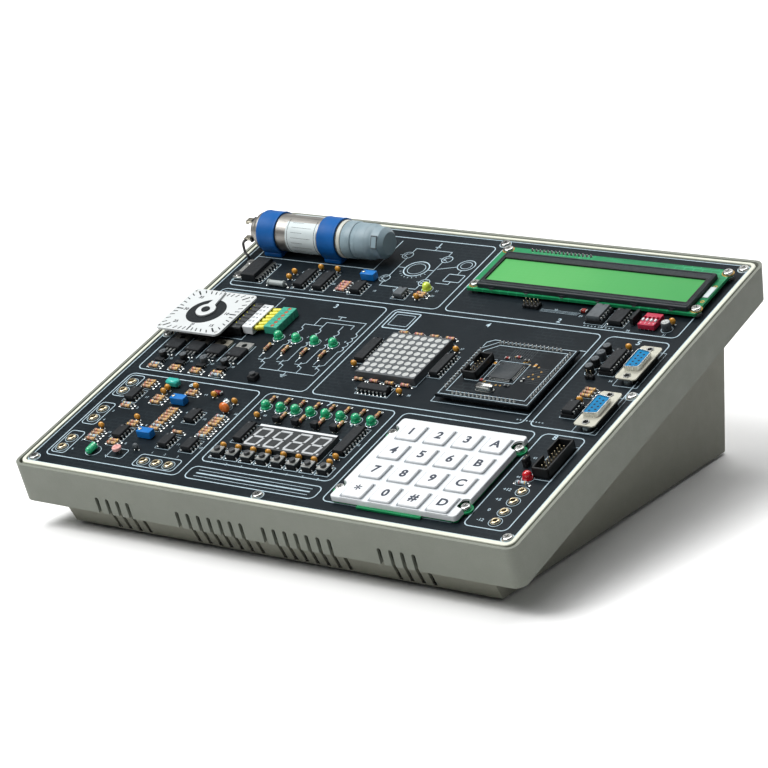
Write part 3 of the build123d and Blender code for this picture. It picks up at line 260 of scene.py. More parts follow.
# the next two are darker copies of the tab steel: painted half shade and painted shade for the transistor tabs under
# the dial plate; the mid one is also the plain metal of the motor terminals
brushed("tab_mid_and_painted_half_shade", (0.34, 0.32, 0.26), 0.36, (1, 30, 1))
brushed("tab_painted_shade", (0.15, 0.145, 0.13), 0.4, (1, 30, 1))
brushed("motor_can", (0.30, 0.29, 0.27), 0.40, (1, 30, 30), var=0.16)
brushed("port_shell", (0.70, 0.70, 0.67), 0.28, (30, 1, 1))
make("port_flange", hexc("#b7b6a8"), 0.35, metal=0.25, var=0.1, vscale=80, bump=0.15, bscale=1200, dirt=0.2)
brushed("brass", (0.58, 0.50, 0.34), 0.26, (1, 1, 1))
make("epoxy", (0.011, 0.013, 0.015), 0.52, var=0.3, vscale=220, bump=0.45, bscale=2600, spec=0.22)
make("epoxy_grey", (0.060, 0.072, 0.080), 0.5, var=0.25, vscale=220, bump=0.45, bscale=2600)
make("black_plastic", (0.011, 0.012, 0.013), 0.44, var=0.3, vscale=150, bump=0.25, bscale=1500, spec=0.25)
make("dark_plastic", (0.030, 0.034, 0.037), 0.45, var=0.25, vscale=150, bump=0.25, bscale=1500)
# grey for the gaps round the keys: painted shade in the gaps
make("key_gap", hexc("#868e93"), 0.55, var=0.12, vscale=90, bump=0.1)
make("white_plastic", hexc("#ced2d4"), 0.38, var=0.05, vscale=40, bump=0.12, bscale=1400, dirt=0.10, dirtcol=hexc("#c3c6c6"))
make("key_white", hexc("#d6d9db"), 0.34, var=0.04, vscale=60, bump=0.10, bscale=1500, dirt=0.08, dirtcol=hexc("#cfd2d2"))
make("legend", hexc("#232c3c"), 0.55, var=0.2, vscale=400, bump=0.1)
make("seg_grey", hexc("#a9adaf"), 0.45, var=0.1, vscale=200, bump=0.1)
make("dot_grey", hexc("#abaeac"), 0.38, var=0.12, vscale=260, bump=0.2, bscale=1800)
make("matrix_face", hexc("#42474a"), 0.5, var=0.2, vscale=120, bump=0.2)
make("segment_face", hexc("#1c2022"), 0.42, var=0.2, vscale=120, bump=0.2)
make("led_green", hexc("#27b07a"), 0.18, var=0.14, vscale=160, bump=0.05, coat=0.6, trans=0.25, emit=0.06)
make("led_yellow", hexc("#c3d84a"), 0.18, var=0.12, vscale=160, bump=0.05, coat=0.6, trans=0.2, emit=0.08)
make("led_red", hexc("#c4121f"), 0.18, var=0.12, vscale=160, bump=0.05, coat=0.6, trans=0.2, emit=0.05)
make("res_tan", hexc("#b39370"), 0.42, var=0.12, vscale=400, bump=0.12)
make("res_blue", hexc("#9fb3bb"), 0.4, var=0.12, vscale=400, bump=0.12)
make("band_red", hexc("#a03020"), 0.45, var=0.15, vscale=500)
make("band_brown", hexc("#5a3018"), 0.45, var=0.15, vscale=500)
make("band_gold", hexc("#b08a30"), 0.35, metal=0.6, var=0.15, vscale=500)
make("band_black", (0.02, 0.02, 0.02), 0.45, var=0.15, vscale=500)
make("res_grey", hexc("#8f9796"), 0.5, var=0.15, vscale=200, bump=0.3)
make("cap_amber", hexc("#c48a2c"), 0.32, var=0.16, vscale=260, bump=0.2, coat=0.4)
make("cap_orange", hexc("#cf6a1e"), 0.3, var=0.12, vscale=260, bump=0.2, coat=0.4)
make("cap_teal", hexc("#2fa79b"), 0.35, var=0.12, vscale=260, bump=0.2, coat=0.3)
make("cap_red", hexc("#7c2018"), 0.35, var=0.15, vscale=260, bump=0.2)
make("trim_blue", hexc("#0a66ad"), 0.35, var=0.1, vscale=200, bump=0.15)
make("insert_blue", hexc("#0a72a4"), 0.5, spec=0.12, var=0.1, vscale=150, bump=0.15)
make("strap_blue", hexc("#024f90"), 0.5, var=0.10, vscale=60, bump=0.25, bscale=500, spec=0.2)
make("gear_dark", hexc("#3d474c"), 0.5, var=0.15, vscale=90, bump=0.2)
make("gear_grey", hexc("#788b93"), 0.48, var=0.1, vscale=50, bump=0.3, bscale=1000, dirt=0.15, dirtcol=hexc("#4d5558"))
make("ring_cream", hexc("#b7b9b0"), 0.45, var=0.1, vscale=80, bump=0.15)
make("label_white", hexc("#b9c3c4"), 0.45, var=0.06, vscale=90, bump=0.1, dirt=0.12, dirtcol=hexc("#b9bab2"))
make("dial_white", hexc("#c0c4c4"), 0.4, var=0.04, vscale=50, bump=0.08, dirt=0.08, dirtcol=hexc("#d2d4d2"))
make("ink_black", (0.010, 0.013, 0.015), 0.55, var=0.2, vscale=300, spec=0.15)
make("ferrule_yellow", hexc("#cfca3e"), 0.38, var=0.12, vscale=150, bump=0.15)
make("term_green", hexc("#36977f"), 0.4, var=0.1, vscale=120, bump=0.15)
make("dip_red", hexc("#a91f3c"), 0.38, var=0.1, vscale=150, bump=0.12)
make("pcb_pink", hexc("#b98c84"), 0.4, var=0.15, vscale=300)
make("sensor_pink", hexc("#d3a29c"), 0.5, var=0.2, vscale=700, bump=0.3)
make("iron_lam", (0.16, 0.15, 0.14), 0.5, metal=0.7, var=0.25, vscale=200, stretch=(1, 12, 1), bump=0.5, bscale=300)
make("coil_tape", hexc("#c9a227"), 0.5, var=0.15, vscale=80, bump=0.3, bscale=400)
make("wire_red", hexc("#a31b17"), 0.4, var=0.1, vscale=150)
make("wire_black", (0.02, 0.02, 0.02), 0.42, var=0.2, vscale=150)
make("wire_yellow", hexc("#d8c931"), 0.4, var=0.1, vscale=150)
make("copper_dot", hexc("#c8a05a"), 0.3, metal=0.8, var=0.15, vscale=500)
make("term_orange", hexc("#c9683a"), 0.4, metal=0.3, var=0.2, vscale=400)


def lcd_glass():
    # transflective screen: soft lamp gradient under a faint cell grid
    m, t, b = nt("lcd_glass")
    v = coords(t)
    sep = t.nodes.new("ShaderNodeSeparateXYZ")
    t.links.new(v, sep.inputs[0])
    big = noise(t, 8.0, 3.0, 0.5, v)
    gx = ramp(t, sep.outputs["X"], 0.01, 0.145, 0.0, 1.0)
    a = mixc(t, gx, hexc("#499655"), hexc("#42894e"))
    c = mixc(t, ramp(t, big.outputs["Fac"], 0.3, 0.7, 0.0, 0.35), a, hexc("#62a35c"))
    br = t.nodes.new("ShaderNodeTexBrick")
    br.inputs["Scale"].default_value = 105.0
    br.inputs["Mortar Size"].default_value = 0.02
    br.offset = 0.0
    br.inputs["Color1"].default_value = (0, 0, 0, 1)
    br.inputs["Color2"].default_value = (0, 0, 0, 1)
    br.inputs["Mortar"].default_value = (0.10, 0.10, 0.10, 1)
    t.links.new(v, br.inputs["Vector"])
    c2 = mixc(t, br.outputs["Color"], c, hexc("#3f8a40"))
    t.links.new(c2, b.inputs["Base Color"])
    t.links.new(c2, b.inputs["Emission Color"])
    b.inputs["Emission Strength"].default_value = 0.22
    t.links.new(ramp(t, big.outputs["Fac"], 0.3, 0.7, 0.16, 0.24), b.inputs["Roughness"])
    b.inputs["Specular IOR Level"].default_value = 0.25
    MATS["lcd_glass"] = m


lcd_glass()


# ------------------------------------------------------------------ mesh helpers
class Geo:
    def __init__(self):
        self.v, self.f, self.m, self.names = [], [], [], []

    def mi(self, mat):
        if mat not in self.names:
            self.names.append(mat)
        return self.names.index(mat)

    def add(self, vs, fs, mat, M=None):
        o = len(self.v)
        for p in vs:
            p = Vector(p)
            self.v.append(M @ p if M is not None else p)
        k = self.mi(mat)
        for f in fs:
            self.f.append([q + o for q in f])
            self.m.append(k)

    def box(self, x0, x1, y0, y1, z0, z1, mat, b=0.15, M=None):
        if x1 < x0: x0, x1 = x1, x0
        if y1 < y0: y0, y1 = y1, y0
        if z1 < z0: z0, z1 = z1, z0
        b = min(b, 0.3 * (x1 - x0), 0.3 * (y1 - y0), 0.3 * (z1 - z0))
        lo, hi = (x0, y0, z0), (x1, y1, z1)
        idx, vs = {}, []
        for sx in (0, 1):
            for sy in (0, 1):
                for sz in (0, 1):
                    sg = (sx, sy, sz)
                    for a in range(3):
                        p = []
                        for k in range(3):
                            e = hi[k] if sg[k] else lo[k]
                            if k != a:
                                e += -b if sg[k] else b
                            p.append(e)
                        idx[(sg, a)] = len(vs)
                        vs.append(p)
        fs = []
        cen = Vector(((x0 + x1) / 2, (y0 + y1) / 2, (z0 + z1) / 2))

        def put(f):
            P = [Vector(vs[q]) for q in f]
            n = (P[1] - P[0]).cross(P[2] - P[0])
            mid = sum(P, Vector()) / len(P)
            fs.append(f if n.dot(mid - cen) > 0 else f[::-1])
        for a in range(3):
            i, j = [(1, 2), (0, 2), (0, 1)][a]
            for sg in (0, 1):
                loop = []
                for (p, q) in ((0, 0), (1, 0), (1, 1), (0, 1)):
                    s3 = [0, 0, 0]
                    s3[a], s3[i], s3[j] = sg, p, q
                    loop.append(idx[(tuple(s3), a)])
                put(loop)
        for k in range(3):
            i, j = [(1, 2), (0, 2), (0, 1)][k]
            for p in (0, 1):
                for q in (0, 1):
                    s0, s1 = [0, 0, 0], [0, 0, 0]
                    s0[k], s1[k] = 0, 1
                    s0[i] = s1[i] = p
                    s0[j] = s1[j] = q
                    s0, s1 = tuple(s0), tuple(s1)
                    put([idx[(s0, i)], idx[(s1, i)], idx[(s1, j)], idx[(s0, j)]])
        for sx in (0, 1):
            for sy in (0, 1):
                for sz in (0, 1):
                    sg = (sx, sy, sz)
                    put([idx[(sg, 0)], idx[(sg, 1)], idx[(sg, 2)]])
        self.add(vs, fs, mat, M)

    def lathe(self, prof, mat, M=None, n=24):
        # prof: (radius, height) from the bottom up; radius 0 closes an end
        vs, fs, rings = [], [], []
        for r, z in prof:
            if r < 1e-6:
                rings.append([len(vs)])
                vs.append((0, 0, z))
            else:
                rings.append(list(range(len(vs), len(vs) + n)))
                for i in range(n):
                    a = 2 * math.pi * i / n
                    vs.append((r * math.cos(a), r * math.sin(a), z))
        for A, B in zip(rings, rings[1:]):
            for i in range(n):
                j = (i + 1) % n
                if len(A) == 1 and len(B) == 1:
                    continue
                if len(A) == 1:
                    fs.append([A[0], B[j], B[i]])
                elif len(B) == 1:
                    fs.append([A[i], A[j], B[0]])
                else:
                    fs.append([A[i], A[j], B[j], B[i]])
        self.add(vs, fs, mat, M)

    def cyl(self, x, y, z0, z1, r, mat, b=0.2, n=20, M=None):
        b = min(b, r * 0.4, (z1 - z0) * 0.4)
        T = Matrix.Translation((x, y, 0))
        if M is not None:
            T = M @ T
        self.lathe([(0, z0), (r - b * 0.5, z0), (r, z0 + b * 0.5), (r, z1 - b), (r - b, z1), (0, z1)], mat, T, n)

    def ring(self, x, y, z0, z1, r0, r1, mat, n=24, b=0.1, M=None):
        T = Matrix.Translation((x, y, 0))
        if M is not None:
            T = M @ T
        self.lathe([(r0, z0), (r1, z0), (r1, z1 - b), (r1 - b, z1), (r0 + b, z1), (r0, z1 - b), (r0, z0)], mat, T, n)

    def tube(self, pts, r, mat, n=8, cap=True):
        P = [Vector(p) for p in pts]
        T = []
        for i in range(len(P)):
            a = P[max(i - 1, 0)]
            c = P[min(i + 1, len(P) - 1)]
            T.append((c - a).normalized())
        up = Vector((0, 0, 1)) if abs(T[0].z) < 0.9 else Vector((1, 0, 0))
        nrm = T[0].cross(up).normalized()
        vs, fs = [], []
        for i, p in enumerate(P):
            nrm = (nrm - T[i] * nrm.dot(T[i])).normalized()
            bn = T[i].cross(nrm)
            rr = r[i] if isinstance(r, (list, tuple)) else r
            for k in range(n):
                a = 2 * math.pi * k / n
                vs.append(p + nrm * (rr * math.cos(a)) + bn * (rr * math.sin(a)))
        for i in range(len(P) - 1):
            for k in range(n):
                j = (k + 1) % n
                fs.append([i * n + k, i * n + j, (i + 1) * n + j, (i + 1) * n + k])
        if cap:
            fs.append(list(range(n))[::-1])
            fs.append([(len(P) - 1) * n + k for k in range(n)])
        self.add(vs, fs, mat)

    def line(self, pts, w=0.45, z=0.03, h=0.05, mat="silk", closed=False):
        # flat printed line with mitred corners
        P = [Vector((p[0], p[1])) for p in pts]
        if closed and (P[0] - P[-1]).length < 1e-6:
            P = P[:-1]
        n = len(P)
        if n < 2:
            return
        L, R = [], []
        for i in range(n):
            if closed:
                a, c = P[i - 1], P[(i + 1) % n]
            else:
                a, c = P[max(i - 1, 0)], P[min(i + 1, n - 1)]
            d0 = (P[i] - a)
            d1 = (c - P[i])
            if d0.length < 1e-9: d0 = d1
            if d1.length < 1e-9: d1 = d0
            d0, d1 = d0.normalized(), d1.normalized()
            n0, n1 = Vector((-d0.y, d0.x)), Vector((-d1.y, d1.x))
            nn = n0 + n1
            if nn.length < 1e-6:
                nn = n0
            nn.normalize()
            k = w / 2 / max(0.35, nn.dot(n0))
            L.append(P[i] + nn * k)
            R.append(P[i] - nn * k)
        vs = [(p.x, p.y, z + h) for p in L] + [(p.x, p.y, z + h) for p in R] + [(p.x, p.y, z) for p in L] + [(p.x, p.y, z) for p in R]
        fs = []
        rng = range(n) if closed else range(n - 1)
        for i in rng:
            j = (i + 1) % n
            fs.append([i, n + i, n + j, j])
            fs.append([i, j, 2 * n + j, 2 * n + i])
            fs.append([n + i, 3 * n + i, 3 * n + j, n + j])
            fs.append([2 * n + i, 2 * n + j, 3 * n + j, 3 * n + i])
        if not closed:
            fs.append([0, 2 * n, 3 * n, n])
            fs.append([n - 1, 2 * n - 1, 4 * n - 1, 3 * n - 1])
        self.add(vs, fs, mat)

    def rrect(self, x0, x1, y0, y1, r=3.0, **kw):
        self.line(rr_pts(x0, x1, y0, y1, r), closed=True, **kw)

    def circle(self, x, y, r, n=28, **kw):
        self.line([(x + r * math.cos(2 * math.pi * i / n), y + r * math.sin(2 * math.pi * i / n)) for i in range(n)], closed=True, **kw)

    def prism(self, pts, z0, z1, mat, b=0.0, M=None):
        # convex or simple polygon, counter-clockwise, with an optional top chamfer
        n = len(pts)
        cx = sum(p[0] for p in pts) / n
        cy = sum(p[1] for p in pts) / n

        def inset(p):
            d = Vector((p[0] - cx, p[1] - cy))
            L = max(d.length, 1e-6)
            return (p[0] - d.x / L * b * 1.3, p[1] - d.y / L * b * 1.3)
        rings = [[(p[0], p[1], z0) for p in pts], [(p[0], p[1], z1 - b) for p in pts]]
        if b > 0:
            rings.append([(*inset(p), z1) for p in pts])
        vs = [q for r_ in rings for q in r_]
        fs = [list(range(n))[::-1]]
        for k in range(len(rings) - 1):
            for i in range(n):
                j = (i + 1) % n
                fs.append([k * n + i, k * n + j, (k + 1) * n + j, (k + 1) * n + i])
        fs.append([(len(rings) - 1) * n + i for i in range(n)])
        self.add(vs, fs, mat, M)

    def frame(self, outer, inner, z0, z1, mat, M=None):
        # ring between two closed loops with the same number of points
        n = len(outer)
        vs = [(*p, z0) for p in outer] + [(*p, z1) for p in outer] + [(*p, z1) for p in inner] + [(*p, z0) for p in inner]
        fs = []
        for i in range(n):
            j = (i + 1) % n
            for k in range(4):
                a, b = k * n, ((k + 1) % 4) * n
                fs.append([a + i, a + j, b + j, b + i])
        self.add(vs, fs, mat, M)

    def text(self, body, x, y, size, z=0.03, h=0.05, mat="silk", bold=0.0, align="CENTER", rot=0.0, M=None):
        cu = bpy.data.curves.new("t", "FONT")
        cu.body = body
        cu.size = 1.0
        cu.align_x = align
        cu.align_y = "CENTER"
        cu.offset = bold
        cu.resolution_u = 3
        ob = bpy.data.objects.new("t", cu)
        bpy.context.scene.collection.objects.link(ob)
        bpy.context.view_layer.update()
        dg = bpy.context.evaluated_depsgraph_get()
        me = bpy.data.meshes.new_from_object(ob.evaluated_get(dg))
        vs0 = [v.co.copy() for v in me.vertices]
        fs0 = [list(p.vertices) for p in me.polygons]
        bpy.data.objects.remove(ob)
        bpy.data.meshes.remove(me)
        bpy.data.curves.remove(cu)
        c, s = math.cos(rot), math.sin(rot)
        vs = [(x + size * (p.x * c - p.y * s), y + size * (p.x * s + p.y * c), z + h) for p in vs0]
        fs = [f for f in fs0]
        ec = {}
        for f in fs0:
            for i in range(len(f)):
                e = (f[i], f[(i + 1) % len(f)])
                k = (min(e), max(e))
                ec.setdefault(k, []).append(e)
        n = len(vs)
        vs += [(p[0], p[1], z) for p in vs]
        for k, es in ec.items():
            if len(es) == 1:
                a, b = es[0]
                fs.append([a, n + a, n + b, b])
        self.add(vs, fs, mat, M)

    def obj(self, name, body, M=PM, slot=None, repl=(), angle=40.0, sub=0):
        me = bpy.data.meshes.new(name)
        me.from_pydata([tuple(M @ p) for p in self.v], [], self.f)
        for q in self.names:
            me.materials.append(MATS[q])
        me.polygons.foreach_set("material_index", self.m)
        me.update()
        bm = bmesh.new()
        bm.from_mesh(me)
        bmesh.ops.remove_doubles(bm, verts=bm.verts, dist=1e-8)
        bmesh.ops.recalc_face_normals(bm, faces=bm.faces)
        for f in bm.faces:
            f.smooth = True
        lim = math.radians(angle)
        for e in bm.edges:
            e.smooth = len(e.link_faces) == 2 and e.calc_face_angle(0.0) < lim
        bm.to_mesh(me)
        bm.free()
        ob = bpy.data.objects.new(name, me)
        bpy.context.scene.collection.objects.link(ob)
        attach(ob, body)
        if repl:
            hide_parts(*repl)
        return ob


def rr_pts(x0, x1, y0, y1, r, k=5):
    pts = []
    for cx, cy, a0 in ((x1 - r, y0 + r, -90), (x1 - r, y1 - r, 0), (x0 + r, y1 - r, 90), (x0 + r, y0 + r, 180)):
        for i in range(k + 1):
            a = math.radians(a0 + 90.0 * i / k)
            pts.append((cx + r * math.cos(a), cy + r * math.sin(a)))
    return pts


def rxm(x, y, z, ax, deg):
    return Matrix.Translation((x, y, z)) @ Matrix.Rotation(math.radians(deg), 4, ax)


def set_mat(node, mat):
    o = NODES[node]
    o.data.materials.clear()
    o.data.materials.append(MATS[mat])


for node, mat in (("housing", "case_paint"), ("bezel_frame", "bezel_cream"), ("base_shell", "base_paint"), ("bottom_cover", "cover_paint"),
                  ("feet", "rubber_black"), ("panel_board", "panel_mask"), ("lcd_board", "green_mask"), ("lcd_screen", "lcd_glass"),
                  ("lcd_bezel", "frame_black"), ("keypad_plate", "white_plastic"), ("keypad_board", "green_mask"), ("adapter_board", "adapter_mask"),
                  ("screws", "screw_steel"), ("transformer", "iron_lam"), ("psu_board", "green_mask"), ("mains_inlet", "black_plastic"),
                  ("dial_plate", "dial_white"), ("led_matrix", "matrix_face"), ("seven_segment", "segment_face"), ("stepper_motor", "black_plastic")):
    set_mat(node, mat)

# ------------------------------------------------------------------ printed lines
g = Geo()
g.rrect(-155.2, 155.2, -128.2, 128.2, 2.6, w=0.55)
for x in (-152.5, 0, 152.5):
    for y in (-125, 0, 125):
        if (x, y) != (0, 0):
            g.circle(x, y, 3.35, n=32, w=0.5, z=0.035)
FR = [(.0115, .490, .718, .985), (.505, .987, .719, .986), (.012, .394, .359, .7015), (.4087, .849, .3586, .701), (.864, .987, .358, .699),
      (.0124, .312, .0174, .340), (.328, .605, .0795, .3405), (.328, .605, .0164, .0597), (.6217, .890, .018, .340), (.904, .987, .018, .340)]
for i, (a, b, c0, d) in enumerate(FR):
    g.rrect(U(a), U(b), V(c0), V(d), 3.6, w=0.6)
# numbers in place of headings
for k, (u, v) in enumerate(((.370, .968), (.745, .7320), (.285, .6840), (.620, .6840), (.928, .6860), (.160, .3270), (.466, .3310), (.930, .3300)), 1):
    g.text(str(k), U(u), V(v), 5.2, bold=0.02)
g.line([(U(.345), V(.038)), (U(.588), V(.038))], w=0.9)
g.line([(U(.345), V(.0485)), (U(.588), V(.0485))], w=0.35)
g.line([(U(.345), V(.0275)), (U(.588), V(.0275))], w=0.35)
# bare framed square where a mark would be
g.rrect(U(.417), U(.472), V(.628), V(.692), 1.2, w=0.8)
g.rrect(U(.424), U(.465), V(.640), V(.683), 0.8, w=0.4)
# bridge circuit
bx0, bx1, by0, by1 = U(.328), U(.409), V(.785), V(.945)
g.line([(bx0, by0), (bx1, by0)], w=0.45); g.line([(bx0, by1), (bx1, by1)], w=0.45)
for x in (bx0, bx1):
    g.line([(x, by0), (x, V(.803))], w=0.45); g.line([(x, V(.826)), (x, V(.903))], w=0.45); g.line([(x, V(.926)), (x, by1)], w=0.45)
for x in (U(.324), U(.413)):
    for y in (V(.9146), V(.8146)):
        g.circle(x, y, 3.3, w=0.45)
        g.line([(x - 1.4, y - 1.7), (x - 1.4, y + 1.7)], w=0.5)
        g.line([(x - 1.4, y + 0.6), (x + 1.2, y + 2.2)], w=0.35); g.line([(x - 1.4, y - 0.6), (x + 1.2, y - 2.2)], w=0.35)
        g.line([(x - 5.2, y), (x - 1.4, y)], w=0.35)
mcx, mcy = U(.370), V(.8646)
g.circle(mcx, mcy, 7.6, w=0.7, n=36); g.circle(mcx, mcy, 5.4, w=0.35, n=36)
g.line([(bx0, mcy), (mcx - 7.6, mcy)], w=0.45); g.line([(mcx + 7.6, mcy), (bx1, mcy)], w=0.45)
for i in range(9):
    a = math.radians(205 + i * 16)
    g.line([(mcx + 8.8 * math.cos(a), mcy + 8.8 * math.sin(a)), (mcx + 10.0 * math.cos(a), mcy + 10.0 * math.sin(a))], w=0.35)
g.circle(U(.464), V(.899), 5.3, w=0.55, n=32); g.circle(U(.464), V(.899), 3.4, w=0.35)
g.line([(U(.413), V(.872)), (U(.449), V(.890))], w=0.45)
g.rrect(U(.4465), U(.4815), V(.829), V(.859), 0.6, w=0.5)
g.line([(U(.464), V(.859)), (U(.464), V(.8775))], w=0.45); g.line([(U(.464), V(.829)), (U(.464), V(.818)), (U(.436), V(.818))], w=0.45)
g.line([(U(.370), by1), (U(.370), by1 + 3.4)], w=0.45); g.line([(U(.364), by1 + 3.4), (U(.376), by1 + 3.4)], w=0.45)
g.line([(U(.370), by0), (U(.370), by0 - 2.6)], w=0.45)
for k, wd in ((0, 3.6), (1, 2.4), (2, 1.2)):
    g.line([(U(.370) - wd / 2, by0 - 2.6 - k * 0.9), (U(.370) + wd / 2, by0 - 2.6 - k * 0.9)], w=0.35)
# outline of the motor bed
g.line([(U(.012), V(.8427)), (U(.2838), V(.8427)), (U(.2838), V(.970))], w=0.5)
# coil circuit
for j, u in enumerate((.2590, .300, .341, .381)):
    x = U(u)
    pts = []
    for i in range(4):
        for q in range(7):
            a = math.radians(-90 + q * 30)
            pts.append((x + 2.1 * math.cos(a) - 0.2, V(.590) - i * 4.6 - 2.3 + 2.3 * math.sin(a) * -1))
    g.line(pts, w=0.42)
    g.line([(x, V(.590)), (x, V(.603))], w=0.42)
    g.line([(x, V(.590) - 18.4), (x, V(.462))], w=0.42)
    g.line([(x - 3.0, V(.4615)), (x - 3.0, V(.444))], w=0.5)
    g.line([(x, V(.462)), (x - 3.0, V(.456))], w=0.35); g.line([(x - 3.0, V(.449)), (x, V(.443)), (x, V(.421))], w=0.35)
    g.line([(x - 6.4, V(.4530)), (x - 3.0, V(.4530))], w=0.35)
g.line([(U(.2590), V(.421)), (U(.381), V(.421))], w=0.45)
g.line([(U(.259), V(.603)), (U(.300), V(.603))], w=0.42); g.line([(U(.341), V(.603)), (U(.341), V(.612))], w=0.42)
g.line([(U(.300), V(.603)), (U(.300), V(.619)), (U(.362), V(.619)), (U(.362), V(.603))], w=0.42)
g.line([(U(.2795), V(.603)), (U(.2795), V(.633)), (U(.381), V(.633)), (U(.381), V(.603))], w=0.42)
g.line([(U(.320), V(.633)), (U(.320), V(.6460))], w=0.42); g.line([(U(.311), V(.6460)), (U(.329), V(.6460))], w=0.5)
g.line([(U(.320), V(.421)), (U(.320), V(.409))], w=0.42)
for k, wd in ((0, 4.4), (1, 3.0), (2, 1.6)):
    g.line([(U(.320) - wd / 2, V(.409) - k * 0.95), (U(.320) + wd / 2, V(.409) - k * 0.95)], w=0.4)
g.line([(U(.020), V(.690)), (U(.163), V(.690)), (U(.163), V(.515)), (U(.020), V(.515))], w=0.4)
# adapter outline on the panel
g.line([(U(.6480), V(.622)), (U(.6600), V(.634)), (U(.846), V(.634))], w=0.5)
g.line([(U(.6480), V(.622)), (U(.6480), V(.392)), (U(.846), V(.392))], w=0.4)
# socket boxes
for a, b, c0, d in ((.0183, .050, .2511, .3324), (.0183, .050, .1393, .2221), (.0183, .050, .0290, .1103), (.2052, .2969, .0275, .0696)):
    g.rrect(U(a), U(b), V(c0), V(d), 2.2, w=0.5)
for i, v in enumerate((.1456, .1110, .0754, .0416)):
    g.text(("+12", "+5", "0", "-12")[i], U(.927), V(v), 3.0, bold=0.015)
for i, v in enumerate((.3057, .2714, .1965, .1617, .0827, .0479)):
    g.text(str(i + 1), U(.0585), V(v), 2.3)
    g.circle(U(.0338), V(v), 3.6, w=0.3)
for i, u in enumerate((.2224, .2505, .2790)):
    g.text(str(i + 1), U(u), V(.0790), 2.3)
    g.circle(U(u), V(.0455), 3.6, w=0.3)
for v in (.1456, .1110, .0754, .0416):
    g.circle(U(.956), V(v), 3.6, w=0.3)
SILK = g


# ------------------------------------------------------------------ components
def pad(G, x, y, r=0.75):
    G.lathe([(r, 0.0), (r, 0.06), (r * 0.45, 0.28), (0, 0.34)], "tin", Matrix.Translation((x, y, 0.0)), 10)


BANDS = ["band_brown", "band_red", "band_black", "band_gold", "band_red", "band_brown"]


def resistor(G, x, y, L=6.2, r=1.1, vert=False, body="res_tan", k=0, base=0.0):
    # dumb-bell body with colour bands, bent leads and solder spots
    M = Matrix.Translation((x, y, base + r))
    if vert:
        M = M @ Matrix.Rotation(math.radians(90), 4, "Z")
    M = M @ Matrix.Rotation(math.radians(90), 4, "Y")
    h = L / 2
    prof = [(0, -h), (0.35 * r, -h), (0.80 * r, -h + 0.12), (r, -h + 0.45), (r, -h + 1.2), (0.84 * r, -h + 1.55), (0.84 * r, h - 1.55), (r, h - 1.2), (r, h - 0.45),
            (0.80 * r, h - 0.12), (0.35 * r, h), (0, h)]
    G.lathe(prof, body, M, 14)
    zs = [-h + 0.8, -h + 2.0, -h + 2.8, h - 0.8] if L < 8 else []
    for i, z in enumerate(zs):
        q = r * (1.015 if i in (0, 3) else 0.86)
        G.lathe([(q, z - 0.24), (q + 0.015, z - 0.22), (q + 0.015, z + 0.22), (q, z + 0.24)], BANDS[(k + i * 2) % 6] if i < 3 else "band_gold", M, 14)
    e = h + 1.45
    for s in (-1, 1):
        P = [(s * (h - 0.1), 0, 0), (s * (h + 0.7), 0, 0), (s * (h + 1.2), 0, -0.2), (s * e, 0, -0.55), (s * e, 0, -r + 0.02)]
        R = Matrix.Rotation(math.radians(90), 4, "Z") if vert else Matrix.Identity(4)
        G.tube([Matrix.Translation((x, y, base + r)) @ R @ Vector(p) for p in P], 0.27, "tin", 6)
        px, py = (x, y + s * e) if vert else (x + s * e, y)
        if base == 0:
            pad(G, px, py)


def disc(G, x, y, d=3.8, t=2.1, h=4.2, mat="cap_amber"):
    z = h - d / 2
    M = Matrix.Translation((x, y, z)) @ Matrix.Rotation(math.radians(90), 4, "X")
    q = t / 2
    prof = [(0, -q), (d * 0.25, -q * 0.98), (d * 0.38, -q * 0.80), (d * 0.46, -q * 0.45), (d * 0.5, 0), (d * 0.46, q * 0.45), (d * 0.38, q * 0.80), (d * 0.25, q * 0.98), (0, q)]
    G.lathe(prof, mat, M, 22)
    for s in (-1, 1):
        G.tube([(x + s * 1.0, y, z - d * 0.42), (x + s * 1.2, y, z - d * 0.55), (x + s * 1.27, y, 0.05)], [0.5, 0.3, 0.25], "tin", 7)
        pad(G, x + s * 1.27, y, 0.65)


